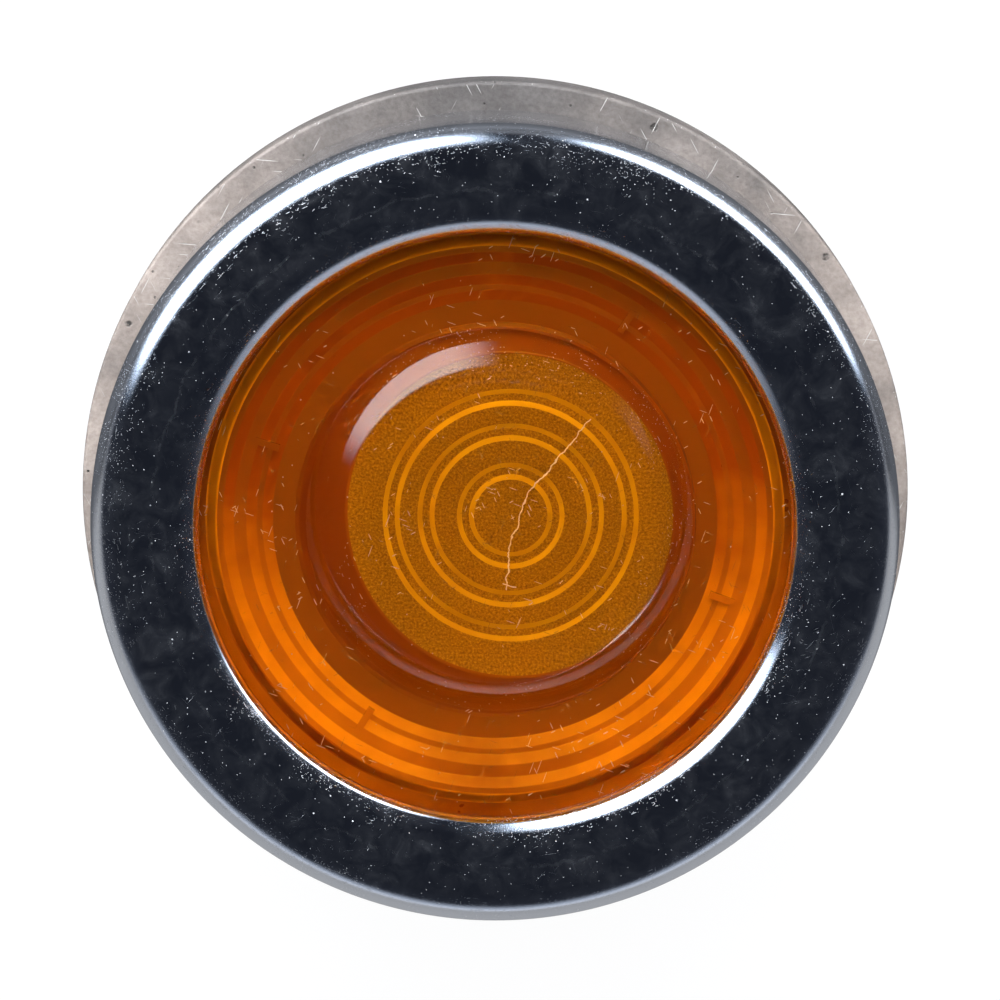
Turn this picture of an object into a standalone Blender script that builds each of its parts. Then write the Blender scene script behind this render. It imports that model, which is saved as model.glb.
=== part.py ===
"""Round amber marker lamp: a cast flanged body clamped in a hole by a ring nut, with a screwed
chrome bezel, a moulded amber lens and a bayonet bulb in a sprung lampholder.

The lamp stands on the rim of its can, with its axis on +Z. Heights are measured from that rim.
"""

import math

import bmesh
import bpy
from mathutils import Matrix, Vector

MM = 0.001
GAP = 0.3 * MM  # between solids that touch on the real lamp

# Sides of the turned pieces
SIDES = 36
SMALL_SIDES = 24
TINY_SIDES = 12

# Housing
CAN_RADIUS = 24.0 * MM
CAN_BORE = 21.5 * MM
FLOOR_Z = 13.0 * MM
FLOOR_THICKNESS = 3.0 * MM
SEAT_Z = 46.0 * MM
FLANGE_RADIUS = 37.05 * MM
FLANGE_THICKNESS = 6.0 * MM
DRUM_RADIUS = 33.0 * MM
DRUM_BORE = 29.5 * MM
LEDGE_Z = 57.0 * MM
LEDGE_BORE = 24.6 * MM
RIM_Z = 63.0 * MM

# Bezel, slip ring and lens
BEZEL_RADIUS = 35.0 * MM
BEZEL_OPENING = 25.6 * MM
BEZEL_SKIRT_Z = 57.0 * MM
BEZEL_CEILING_Z = 69.6 * MM
BEZEL_CROWN_Z = 72.1 * MM
LENS_RADIUS = 32.0 * MM
LENS_TOP_Z = 68.2 * MM
LENS_FLANGE_Z = 65.2 * MM
DOME_TOP_Z = 71.2 * MM
DOME_BASE_RADIUS = 17.3 * MM
ANNULUS_Z = 67.5 * MM
RIDGE_RADII = (3.9 * MM, 7.3 * MM, 10.3 * MM)
STEP_RADII = (19.0 * MM, 20.6 * MM, 22.6 * MM, 24.7 * MM)
STEP_RISE = 0.45 * MM
STEP_SLOPE = 0.25 * MM  # each step's wall leans this far to either side of its radius
SEAT_SLOPE = 0.4 * MM  # and so does the wall down to the lens's seat
RIDGE_WIDTH = 0.8 * MM
NOTCH_ANGLES = (57.0, 161.0, 237.0, 341.0)

# Lampholder and bulb, on the lamp's axis
PLATE_RADIUS = 29.2 * MM
PLATE_WALL = 24.3 * MM
PLATE_FOOT_Z = 52.0 * MM
HUB_RADIUS = 10.5 * MM
REFLECTOR_DISH = 22.4 * MM
REFLECTOR_HOLE = 6.5 * MM
REFLECTOR_LOW_Z = 49.6 * MM
REFLECTOR_STEPS = 6
SCREW_CIRCLE = 26.8 * MM
SCREW_COUNT = 3
SCREW_HOLE = 1.7 * MM
SCREW_CLEARANCE = 1.8 * MM
SCREW_SHANK = 1.4 * MM
SCREW_HEAD = 2.6 * MM
SCREW_HEAD_HEIGHT = 1.8 * MM
SLOT_WIDTH = 0.7 * MM
SOCKET_BORE = 4.85 * MM
SOCKET_RADIUS = 5.5 * MM
SOCKET_Z = 26.0 * MM
HUB_Z = 42.0 * MM
SHEET = 0.8 * MM
RIVET_CIRCLE = 8.0 * MM
RIVET_HOLE = 1.2 * MM
RIVET_SHANK = 0.9 * MM
RIVET_HEAD = 1.6 * MM
RIVET_HEAD_HEIGHT = 0.6 * MM
BULB_CONTACT_Z = 34.5 * MM
BULB_CAP_RADIUS = 4.6 * MM
BULB_GLASS_RADIUS = 4.4 * MM
BULB_TOP_Z = 62.5 * MM
PIN_Z = 40.0 * MM
PIN_RADIUS = 0.85 * MM
PIN_REACH = 5.45 * MM
BULB_PUSH = 1.5 * MM
BULB_TURN = 25.0
FILAMENT_Z = 54.0 * MM

# Cable gland and terminal block
GLAND_THREAD_RADIUS = 5.7 * MM
GLAND_HOLE_RADIUS = 6.0 * MM
GLAND_HEX = 15.0 * MM
GLAND_BORE = 3.2 * MM
GLAND_POCKET = 4.9 * MM
GLAND_SHOULDER_Z = 9.5 * MM
GLAND_NUT_Z = 2.5 * MM
BLOCK_SIZE = (20.0 * MM, 9.0 * MM, 11.0 * MM)
BLOCK_Y = -13.4 * MM
BLOCK_Z = FLOOR_Z + FLOOR_THICKNESS + GAP
BLOCK_TOP_Z = BLOCK_Z + BLOCK_SIZE[2]
POLE_X = 5.0 * MM
POLE_Z = BLOCK_Z + 4.6 * MM

# Ring nut
NUT_RADIUS = 31.0 * MM
NUT_Z = 28.4 * MM
NUT_HEIGHT = 8.0 * MM
NUT_NOTCHES = 8
WASHER_THICKNESS = 1.5 * MM
GASKET_THICKNESS = 1.5 * MM


# Scene and materials


def clear_scene():
    for item in list(bpy.data.objects):
        bpy.data.objects.remove(item)


def new_collection(name):
    made = bpy.data.collections.new(name)
    bpy.context.scene.collection.children.link(made)
    return made


def new_material(name, colour, roughness, metallic):
    made = bpy.data.materials.new(name)
    made.use_nodes = True
    shader = made.node_tree.nodes["Principled BSDF"]
    shader.inputs["Base Color"].default_value = (*colour, 1.0)
    shader.inputs["Roughness"].default_value = roughness
    shader.inputs["Metallic"].default_value = metallic
    made.diffuse_color = (*colour, 1.0)
    return made


clear_scene()
LAMP = new_collection("amber_marker_lamp")
CUTTERS = new_collection("cutters")
FINISH = {
    "cast": ((0.32, 0.29, 0.27), 0.6, 0.8),
    "chrome": ((0.8, 0.8, 0.82), 0.08, 1.0),
    "amber": ((0.9, 0.3, 0.01), 0.05, 0.0),
    "rubber": ((0.02, 0.02, 0.02), 0.75, 0.0),
    "nylon": ((0.75, 0.73, 0.66), 0.5, 0.0),
    "reflector": ((0.85, 0.85, 0.85), 0.2, 1.0),
    "steel": ((0.6, 0.6, 0.6), 0.3, 1.0),
    "brass": ((0.75, 0.55, 0.25), 0.3, 1.0),
    "phenolic": ((0.12, 0.05, 0.03), 0.45, 0.0),
    "glass": ((0.9, 0.95, 0.95), 0.02, 0.0),
    "tungsten": ((0.3, 0.3, 0.3), 0.4, 1.0),
    "solder": ((0.65, 0.65, 0.68), 0.35, 1.0),
    "plastic": ((0.05, 0.05, 0.05), 0.5, 0.0),
    "red_wire": ((0.5, 0.02, 0.02), 0.5, 0.0),
    "black_wire": ((0.02, 0.02, 0.02), 0.5, 0.0),
}


# Mesh makers


def place(name, mesh, finish, helper=False):
    """Links a mesh as a named piece of the lamp, or as a hidden cutter."""
    made = bpy.data.objects.new(name, mesh)
    if helper:
        made.hide_render = True
        made.display_type = "WIRE"
        CUTTERS.objects.link(made)
    else:
        made.data.materials.append(new_material(name, *FINISH[finish]))
        LAMP.objects.link(made)
    return made


def rounded(corners, closed=True, arc_steps=3):
    """The outline through corners (r, z) or (r, z, fillet), with each fillet drawn as an arc."""
    outline = []
    for index, corner in enumerate(corners):
        here = Vector(corner[:2])
        fillet = corner[2] if len(corner) > 2 else 0.0
        at_end = not closed and index in (0, len(corners) - 1)
        if fillet == 0.0 or at_end:
            outline.append(here)
            continue
        before = (Vector(corners[index - 1][:2]) - here).normalized()
        after = (Vector(corners[(index + 1) % len(corners)][:2]) - here).normalized()
        half = before.angle(after) / 2
        centre = here + (before + after).normalized() * fillet / math.sin(half)
        reach = fillet / math.tan(half)
        start = (here + before * reach - centre).normalized()
        end = (here + after * reach - centre).normalized()
        for step in range(arc_steps + 1):
            outline.append(centre + start.slerp(end, step / arc_steps) * fillet)
    return outline


def turned(name, corners, finish, closed=True, sides=SIDES, arc_steps=3, helper=False):
    """A turned piece. Its profile runs down the outer side, and then up the bore if it has one."""
    outline = rounded(corners, closed, arc_steps)
    count = len(outline)
    edges = [(i, i + 1) for i in range(count - 1)]
    if closed:
        edges.append((count - 1, 0))
    mesh = bpy.data.meshes.new(name)
    mesh.from_pydata([(r, 0.0, z) for r, z in outline], edges, [])
    made = place(name, mesh, finish, helper)
    screw = made.modifiers.new("turn", "SCREW")
    screw.axis = "Z"
    screw.angle = math.tau
    screw.steps = sides
    screw.render_steps = sides
    screw.use_merge_vertices = True
    screw.merge_threshold = 0.01 * MM
    return made


def add_box(bm, low, high, turn=0.0):
    """Adds a box between two corners, turned about the lamp's axis by some degrees."""
    size = [h - l for l, h in zip(low, high)]
    middle = [(h + l) / 2 for l, h in zip(low, high)]
    spin = Matrix.Rotation(math.radians(turn), 4, "Z")
    matrix = spin @ Matrix.Translation(middle) @ Matrix.Diagonal((*size, 1.0))
    bmesh.ops.create_cube(bm, size=1.0, matrix=matrix)


def add_rod(bm, radius, start, end, sides=TINY_SIDES):
    """Adds a straight round rod from one point to another."""
    along = Vector(end) - Vector(start)
    middle = (Vector(end) + Vector(start)) / 2
    spin = Vector((0, 0, 1)).rotation_difference(along).to_matrix().to_4x4()
    bmesh.ops.create_cone(
        bm,
        cap_ends=True,
        segments=sides,
        radius1=radius,
        radius2=radius,
        depth=along.length,
        matrix=Matrix.Translation(middle) @ spin,
    )


def from_bmesh(name, bm, finish=None):
    """Turns a bmesh into a piece, or into a cutter when it has no finish."""
    bmesh.ops.recalc_face_normals(bm, faces=bm.faces)
    mesh = bpy.data.meshes.new(name)
    bm.to_mesh(mesh)
    bm.free()
    made = place(name, mesh, finish, helper=finish is None)
    if finish is not None:
        mesh.shade_smooth()
        mesh.set_sharp_from_angle(angle=math.radians(35))
    return made


def combine(piece, other, operation):
    modifier = piece.modifiers.new(other.name, "BOOLEAN")
    modifier.operation = operation
    modifier.solver = "EXACT"
    modifier.object = other


def cut(piece, bm, name):
    combine(piece, from_bmesh(name, bm), "DIFFERENCE")


def join(piece, bm, name):
    combine(piece, from_bmesh(name, bm), "UNION")


def wire(name, points, radius, finish):
    """A round wire through some points, with closed ends."""
    curve = bpy.data.curves.new(name, "CURVE")
    curve.dimensions = "3D"
    curve.bevel_depth = radius
    curve.bevel_resolution = 2
    curve.use_fill_caps = True
    spline = curve.splines.new("POLY")
    spline.points.add(len(points) - 1)
    for target, point in zip(spline.points, points):
        target.co = (*point, 1.0)
    return place(name, curve, finish)


def smooth_path(points, per_span=5):
    """Points along a smooth curve through the given ones."""
    spots = [Vector(p) for p in points]
    spots = [spots[0] * 2 - spots[1], *spots, spots[-1] * 2 - spots[-2]]
    path = []
    for a, b, c, d in zip(spots, spots[1:], spots[2:], spots[3:]):
        for step in range(per_span):
            t = step / per_span
            path.append(
                0.5
                * (
                    b * 2
                    + (c - a) * t
                    + (a * 2 - b * 5 + c * 4 - d) * t**2
                    + (b * 3 - a - c * 3 + d) * t**3
                )
            )
    path.append(spots[-2])
    return path


def on_circle(radius, degrees, z):
    angle = math.radians(degrees)
    return Vector((radius * math.cos(angle), radius * math.sin(angle), z))


def screw_angles():
    return [90.0 + 360.0 * i / SCREW_COUNT for i in range(SCREW_COUNT)]


# Housing and its seals


def make_housing():
    flange_top = SEAT_Z + FLANGE_THICKNESS
    floor_top = FLOOR_Z + FLOOR_THICKNESS
    edge = 0.5 * MM
    housing = turned(
        "housing",
        [
            (DRUM_RADIUS, RIM_Z, edge),
            (DRUM_RADIUS, flange_top, 1.0 * MM),
            (FLANGE_RADIUS, flange_top, 0.4 * MM),
            (FLANGE_RADIUS, SEAT_Z, edge),
            (CAN_RADIUS, SEAT_Z),
            (CAN_RADIUS, 0.0, edge),
            (CAN_BORE, 0.0),
            (CAN_BORE, FLOOR_Z, 1.0 * MM),
            (GLAND_HOLE_RADIUS, FLOOR_Z),
            (GLAND_HOLE_RADIUS, floor_top),
            (CAN_BORE, floor_top, 1.0 * MM),
            (CAN_BORE, SEAT_Z + 2.0 * MM),
            (LEDGE_BORE, SEAT_Z + 4.0 * MM),
            (LEDGE_BORE, LEDGE_Z),
            (DRUM_BORE, LEDGE_Z),
            (DRUM_BORE, RIM_Z),
        ],
        "cast",
    )
    bm = bmesh.new()
    for angle in screw_angles():
        bottom = on_circle(SCREW_CIRCLE, angle, LEDGE_Z - 6.5 * MM)
        top = on_circle(SCREW_CIRCLE, angle, LEDGE_Z + 1.0 * MM)
        add_rod(bm, SCREW_HOLE, bottom, top)
    add_rod(bm, SCREW_HOLE, (0, BLOCK_Y, FLOOR_Z + 1.0 * MM), (0, BLOCK_Y, floor_top + MM))
    cut(housing, bm, "housing_screw_holes")


def make_flange_gasket():
    top = SEAT_Z - GAP
    turned(
        "flange_gasket",
        [
            (FLANGE_RADIUS - 0.7 * MM, top),
            (FLANGE_RADIUS - 0.7 * MM, top - GASKET_THICKNESS),
            (CAN_RADIUS + 0.4 * MM, top - GASKET_THICKNESS),
            (CAN_RADIUS + 0.4 * MM, top),
        ],
        "rubber",
    )


def make_lens_gasket():
    turned(
        "lens_gasket",
        [
            (DRUM_RADIUS - 0.6 * MM, LENS_FLANGE_Z - GAP),
            (DRUM_RADIUS - 0.6 * MM, RIM_Z + GAP),
            (DRUM_BORE + 0.4 * MM, RIM_Z + GAP),
            (DRUM_BORE + 0.4 * MM, LENS_FLANGE_Z - GAP),
        ],
        "rubber",
    )


# Bezel and lens


def make_bezel_ring():
    skirt_wall = 1.7 * MM
    turned(
        "bezel_ring",
        [
            (BEZEL_OPENING, BEZEL_CROWN_Z - 1.72 * MM, 1.5 * MM),
            (BEZEL_OPENING + 1.98 * MM, BEZEL_CROWN_Z, 3.6 * MM),
            (BEZEL_RADIUS - 2.32 * MM, BEZEL_CROWN_Z, 6.4 * MM),
            (BEZEL_RADIUS, BEZEL_CROWN_Z - 2.76 * MM, 1.4 * MM),
            (BEZEL_RADIUS, BEZEL_SKIRT_Z, 0.4 * MM),
            (BEZEL_RADIUS - skirt_wall, BEZEL_SKIRT_Z),
            (BEZEL_RADIUS - skirt_wall, BEZEL_CEILING_Z),
            (BEZEL_OPENING, BEZEL_CEILING_Z),
        ],
        "chrome",
    )


def make_slip_ring():
    turned(
        "slip_ring",
        [
            (LENS_RADIUS + 0.6 * MM, BEZEL_CEILING_Z - GAP),
            (LENS_RADIUS + 0.6 * MM, LENS_TOP_Z + GAP),
            (BEZEL_OPENING + 0.8 * MM, LENS_TOP_Z + GAP),
            (BEZEL_OPENING + 0.8 * MM, BEZEL_CEILING_Z - GAP),
        ],
        "nylon",
    )


def lens_underside():
    """The lens's lower profile, from its rim to its axis: flange, steps, recess and ridges."""
    web_z = LENS_FLANGE_Z + 0.1 * MM
    recess_z = DOME_TOP_Z - 2.8 * MM
    half_ridge = RIDGE_WIDTH / 2
    corners = [
        (LENS_RADIUS, LENS_FLANGE_Z),
        (STEP_RADII[3] + SEAT_SLOPE, LENS_FLANGE_Z),
        (STEP_RADII[3] - SEAT_SLOPE, web_z + 3 * STEP_RISE),
    ]
    for count, radius in zip((2, 1, 0), reversed(STEP_RADII[:3])):
        corners.append((radius + STEP_SLOPE, web_z + (count + 1) * STEP_RISE))
        corners.append((radius - STEP_SLOPE, web_z + count * STEP_RISE))
    corners.append((DOME_BASE_RADIUS, web_z))
    corners.append((DOME_BASE_RADIUS - 3.3 * MM, recess_z))
    for radius in reversed(RIDGE_RADII):
        corners.append((radius + half_ridge, recess_z))
        corners.append((radius, recess_z - half_ridge))
        corners.append((radius - half_ridge, recess_z))
    corners.append((0.0, recess_z))
    return corners


def make_lens():
    opening_edge = BEZEL_OPENING + 0.4 * MM
    lens = turned(
        "lens",
        [
            (0.0, DOME_TOP_Z),
            (DOME_BASE_RADIUS - 4.0 * MM, DOME_TOP_Z - 0.5 * MM, 3.0 * MM),
            (DOME_BASE_RADIUS - 0.4 * MM, ANNULUS_Z, 0.5 * MM),
            (opening_edge, ANNULUS_Z),
            (opening_edge + 0.5 * MM, LENS_TOP_Z),
            (LENS_RADIUS, LENS_TOP_Z),
            *lens_underside(),
        ],
        "amber",
        closed=False,
    )
    bm = bmesh.new()
    half_width = 0.3 * MM
    bottom = LENS_FLANGE_Z - MM
    top = LENS_FLANGE_Z + 1.3 * MM
    for angle in NOTCH_ANGLES:
        low = (STEP_RADII[0] + 0.6 * MM, -half_width, bottom)
        high = (STEP_RADII[2] - 0.4 * MM, half_width, top)
        add_box(bm, low, high, angle)
    cut(lens, bm, "lens_notches")


# Reflector and lampholder


def make_reflector():
    hole = REFLECTOR_HOLE
    span = REFLECTOR_DISH - hole
    rim_top = LEDGE_Z + GAP + SHEET + GAP + SHEET
    focus = (REFLECTOR_DISH**2 - hole**2) / (4 * (rim_top - REFLECTOR_LOW_Z))
    radii = [hole + span * i / REFLECTOR_STEPS for i in range(REFLECTOR_STEPS + 1)]
    inner = [(r, REFLECTOR_LOW_Z + (r**2 - hole**2) / (4 * focus)) for r in radii]
    outer = [(r + SHEET / 2, z - SHEET) for r, z in reversed(inner)]
    rim = [(PLATE_RADIUS, rim_top), (PLATE_RADIUS, rim_top - SHEET)]
    reflector = turned("reflector", [*rim, *outer, *inner], "reflector")
    bm = bmesh.new()
    for angle in screw_angles():
        low = on_circle(SCREW_CIRCLE, angle, rim_top - 2.0 * MM)
        add_rod(bm, SCREW_CLEARANCE, low, low + Vector((0, 0, 4.0 * MM)))
    cut(reflector, bm, "reflector_holes")


def make_lampholder_plate():
    rim_z = LEDGE_Z + GAP
    hole = SOCKET_RADIUS + GAP
    plate = turned(
        "lampholder_plate",
        [
            (PLATE_RADIUS, rim_z + SHEET),
            (PLATE_RADIUS, rim_z),
            (PLATE_WALL, rim_z),
            (PLATE_WALL, PLATE_FOOT_Z),
            (HUB_RADIUS, HUB_Z),
            (hole, HUB_Z),
            (hole, HUB_Z + SHEET),
            (HUB_RADIUS - 0.3 * MM, HUB_Z + SHEET),
            (PLATE_WALL - SHEET, PLATE_FOOT_Z + 0.4 * MM),
            (PLATE_WALL - SHEET, rim_z + SHEET),
        ],
        "steel",
    )
    bm = bmesh.new()
    for angle in screw_angles():
        low = on_circle(SCREW_CIRCLE, angle, rim_z - 2.0 * MM)
        add_rod(bm, SCREW_CLEARANCE, low, low + Vector((0, 0, 4.0 * MM)))
        low = on_circle(RIVET_CIRCLE, angle, HUB_Z - 2.0 * MM)
        add_rod(bm, RIVET_HOLE, low, low + Vector((0, 0, 4.0 * MM)))
    cut(plate, bm, "plate_holes")


def make_plate_screws():
    head_z = LEDGE_Z + 3 * GAP + 2 * SHEET
    for number, angle in enumerate(screw_angles(), 1):
        name = f"plate_screw_{number}"
        head = bmesh.new()
        foot = on_circle(SCREW_CIRCLE, angle, head_z)
        crown = on_circle(SCREW_CIRCLE, angle, head_z + SCREW_HEAD_HEIGHT)
        add_rod(head, SCREW_HEAD, foot, crown)
        shank = bmesh.new()
        tip = on_circle(SCREW_CIRCLE, angle, LEDGE_Z - 5.5 * MM)
        add_rod(shank, SCREW_SHANK, tip, foot.lerp(crown, 0.3))
        slot = bmesh.new()
        reach = SCREW_HEAD + 0.4 * MM
        low = (SCREW_CIRCLE - reach, -SLOT_WIDTH / 2, head_z + MM)
        high = (SCREW_CIRCLE + reach, SLOT_WIDTH / 2, head_z + 3 * MM)
        add_box(slot, low, high, angle)
        screw = from_bmesh(name, head, "steel")
        join(screw, shank, name + "_shank")
        cut(screw, slot, name + "_slot")


def make_socket_shell():
    flange_z = HUB_Z + SHEET + GAP
    flange = 10.0 * MM
    top = flange_z + SHEET
    shell = turned(
        "socket_shell",
        [
            (SOCKET_BORE, top),
            (flange, top),
            (flange, flange_z),
            (SOCKET_RADIUS, flange_z),
            (SOCKET_RADIUS, SOCKET_Z),
            (SOCKET_BORE, SOCKET_Z),
        ],
        "brass",
    )
    clear = 0.4 * MM
    tip = on_circle(PIN_REACH, BULB_TURN, 0.0)
    window_low = PIN_Z - BULB_PUSH - PIN_RADIUS - clear
    window_high = PIN_Z + PIN_RADIUS + clear
    half = PIN_RADIUS + clear
    bm = bmesh.new()
    slots = bmesh.new()
    for side in (0.0, 180.0):
        low = (2.9 * MM, -half, window_low)
        high = (6.4 * MM, tip.y + half, window_high)
        add_box(bm, low, high, side)
        low = (2.9 * MM, -half, window_high - clear)
        high = (PIN_REACH + clear, half, top + MM)
        add_box(slots, low, high, side + BULB_TURN)
    cut(shell, bm, "socket_windows")
    cut(shell, slots, "socket_slots")
    rivet_holes = bmesh.new()
    for angle in screw_angles():
        low = on_circle(RIVET_CIRCLE, angle, flange_z - 2.0 * MM)
        add_rod(rivet_holes, RIVET_HOLE, low, low + Vector((0, 0, 4.0 * MM)))
    cut(shell, rivet_holes, "socket_rivet_holes")


def make_socket_rivets():
    low_z = HUB_Z - GAP
    high_z = HUB_Z + 2 * SHEET + 2 * GAP
    head = Vector((0, 0, RIVET_HEAD_HEIGHT))
    for number, angle in enumerate(screw_angles(), 1):
        name = f"socket_rivet_{number}"
        foot = on_circle(RIVET_CIRCLE, angle, low_z)
        crown = on_circle(RIVET_CIRCLE, angle, high_z)
        lower = bmesh.new()
        add_rod(lower, RIVET_HEAD, foot - head, foot)
        shank = bmesh.new()
        add_rod(shank, RIVET_SHANK, foot - head / 2, crown + head / 2)
        upper = bmesh.new()
        add_rod(upper, RIVET_HEAD, crown, crown + head)
        rivet = from_bmesh(name, lower, "brass")
        join(rivet, shank, name + "_shank")
        join(rivet, upper, name + "_head")


def make_socket_bottom():
    low = SOCKET_Z + GAP
    turned(
        "socket_bottom",
        [
            (SOCKET_BORE - GAP, low + 1.6 * MM),
            (SOCKET_BORE - GAP, low),
            (1.6 * MM, low),
            (1.6 * MM, low + 1.6 * MM),
        ],
        "phenolic",
        sides=SMALL_SIDES,
    )


def make_live_tag():
    """A rivet through the insulating disc, with a solder tag under it."""
    disc_z = SOCKET_Z + GAP
    tag = bmesh.new()
    add_box(tag, (-1.5 * MM, -8.0 * MM, disc_z - 1.1 * MM), (1.5 * MM, 1.6 * MM, disc_z - GAP))
    piece = from_bmesh("live_tag", tag, "brass")
    rivet = bmesh.new()
    add_rod(rivet, 1.2 * MM, (0, 0, disc_z - 0.6 * MM), (0, 0, disc_z + 1.4 * MM))
    join(piece, rivet, "live_tag_rivet")


def make_return_tag():
    bm = bmesh.new()
    add_box(bm, (-1.5 * MM, -12.0 * MM, HUB_Z - 1.0 * MM), (1.5 * MM, -6.0 * MM, HUB_Z - GAP))
    from_bmesh("return_tag", bm, "brass")


def make_contact_plunger():
    """The sprung insulating disc that carries the lamp's centre contact."""
    button_top = BULB_CONTACT_Z - GAP
    disc_top = button_top - 0.4 * MM - GAP
    disc_low = disc_top - 1.6 * MM
    reach = SOCKET_BORE - 0.35 * MM
    turned(
        "contact_carrier",
        [(0.0, disc_top), (reach, disc_top), (reach, disc_low), (0.0, disc_low)],
        "phenolic",
        closed=False,
        sides=SMALL_SIDES,
    )
    turned(
        "contact_button",
        [(0.0, button_top), (1.8 * MM, button_top), (1.8 * MM, button_top - 0.4 * MM),
         (0.0, button_top - 0.4 * MM)],
        "brass",
        closed=False,
        sides=TINY_SIDES,
    )
    spring_low = SOCKET_Z + 2 * GAP + 1.6 * MM
    spring_high = disc_low - GAP
    wire_radius = 0.22 * MM
    turns = 3.5
    per_turn = 10
    count = int(turns * per_turn)
    rise = spring_high - spring_low - 2 * wire_radius
    coil = []
    for i in range(count + 1):
        height = spring_low + wire_radius + rise * i / count
        coil.append(on_circle(3.6 * MM, 360.0 * i / per_turn, height))
    wire("contact_spring", coil, wire_radius, "steel")


# Bulb


def make_bulb_cap():
    low = BULB_CONTACT_Z + 1.6 * MM
    top = BULB_CONTACT_Z + 9.0 * MM
    wall = 0.4 * MM
    cap = turned(
        "bulb_cap",
        [
            (BULB_CAP_RADIUS, top),
            (BULB_CAP_RADIUS, low),
            (3.2 * MM, low - 0.4 * MM),
            (3.2 * MM, low),
            (BULB_CAP_RADIUS - wall, low + wall),
            (BULB_CAP_RADIUS - wall, top),
        ],
        "brass",
        sides=SMALL_SIDES,
    )
    bm = bmesh.new()
    inside = BULB_CAP_RADIUS - wall / 2
    for side in (1, -1):
        add_rod(bm, PIN_RADIUS, (side * inside, 0, PIN_Z), (side * PIN_REACH, 0, PIN_Z))
    join(cap, bm, "bulb_pins")


def make_bulb_base():
    """The cap's insulating glass and the solder contact in its middle."""
    top = BULB_CONTACT_Z + 3.0 * MM
    turned(
        "bulb_insulator",
        [
            (2.8 * MM, top),
            (2.8 * MM, BULB_CONTACT_Z + 1.0 * MM, 0.3 * MM),
            (1.8 * MM, BULB_CONTACT_Z + 0.6 * MM),
            (1.8 * MM, top),
        ],
        "phenolic",
        sides=SMALL_SIDES,
    )
    turned(
        "bulb_contact",
        [
            (0.0, BULB_CONTACT_Z + 2.4 * MM),
            (1.5 * MM, BULB_CONTACT_Z + 2.4 * MM),
            (1.5 * MM, BULB_CONTACT_Z, 0.6 * MM),
            (0.0, BULB_CONTACT_Z),
        ],
        "solder",
        closed=False,
        sides=TINY_SIDES,
    )


def make_bulb_glass():
    wall = 0.5 * MM
    neck = BULB_CAP_RADIUS - 0.8 * MM
    foot_z = BULB_CONTACT_Z + 5.0 * MM
    swell_z = BULB_CONTACT_Z + 11.0 * MM
    dome_z = BULB_TOP_Z - BULB_GLASS_RADIUS
    arc = [math.radians(90 - 15 * i) for i in range(7)]
    outer = [
        (BULB_GLASS_RADIUS * math.cos(a), dome_z + BULB_GLASS_RADIUS * math.sin(a)) for a in arc
    ]
    outer[0] = (0.0, BULB_TOP_Z)
    bore = BULB_GLASS_RADIUS - wall
    inner = [(bore * math.cos(a), dome_z + bore * math.sin(a)) for a in reversed(arc)]
    inner[-1] = (0.0, BULB_TOP_Z - wall)
    turned(
        "bulb_glass",
        [
            *outer,
            (BULB_GLASS_RADIUS, swell_z),
            (neck, swell_z - 1.2 * MM),
            (neck, foot_z),
            (neck - wall, foot_z),
            (neck - wall, swell_z - 1.2 * MM),
            (bore, swell_z),
            *inner,
        ],
        "glass",
        closed=False,
        sides=SMALL_SIDES,
    )


def make_bulb_stem():
    low = BULB_CONTACT_Z + 5.4 * MM
    turned(
        "bulb_stem",
        [
            (0.0, low + 8.0 * MM),
            (1.9 * MM, low + 8.0 * MM, 0.5 * MM),
            (2.4 * MM, low + 1.0 * MM),
            (2.9 * MM, low),
            (0.0, low),
        ],
        "glass",
        closed=False,
        sides=TINY_SIDES,
    )


def make_filament():
    stem_top = BULB_CONTACT_Z + 13.4 * MM
    half_span = 2.0 * MM
    for number, side in enumerate((1, -1), 1):
        bm = bmesh.new()
        foot = (side * 1.2 * MM, 0, stem_top + GAP)
        tip = (side * (half_span + 0.4 * MM), 0, FILAMENT_Z)
        add_rod(bm, 0.15 * MM, foot, tip, 8)
        from_bmesh(f"filament_support_{number}", bm, "steel")
    turns = 5
    per_turn = 6
    coil_radius = 0.3 * MM
    coil = []
    for i in range(turns * per_turn + 1):
        angle = math.tau * i / per_turn
        along = half_span * (2 * i / (turns * per_turn) - 1)
        across = coil_radius * math.cos(angle)
        coil.append((along, across, FILAMENT_Z + coil_radius * math.sin(angle)))
    wire("filament", coil, 0.06 * MM, "tungsten")


# Terminal block and leads


def make_terminal_block():
    half_x, half_y = BLOCK_SIZE[0] / 2, BLOCK_SIZE[1] / 2
    front, back = BLOCK_Y - half_y, BLOCK_Y + half_y
    bm = bmesh.new()
    add_box(bm, (-half_x, front, BLOCK_Z), (half_x, back, BLOCK_TOP_Z))
    block = from_bmesh("terminal_block", bm, "plastic")
    bevel = block.modifiers.new("edges", "BEVEL")
    bevel.width = 0.5 * MM
    bevel.segments = 1
    way = 2.6 * MM
    ways = bmesh.new()
    wells = bmesh.new()
    for x in (-POLE_X, POLE_X):
        add_box(ways, (x - way, front - MM, POLE_Z - way), (x + way, back + MM, POLE_Z + way))
        add_rod(wells, 2.2 * MM, (x, BLOCK_Y, POLE_Z), (x, BLOCK_Y, BLOCK_TOP_Z + MM))
    fixing = bmesh.new()
    add_rod(fixing, 1.7 * MM, (0, BLOCK_Y, BLOCK_Z - MM), (0, BLOCK_Y, BLOCK_TOP_Z + MM))
    cut(block, ways, "block_wire_ways")
    cut(block, wells, "block_screw_wells")
    cut(block, fixing, "block_fixing_hole")


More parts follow.
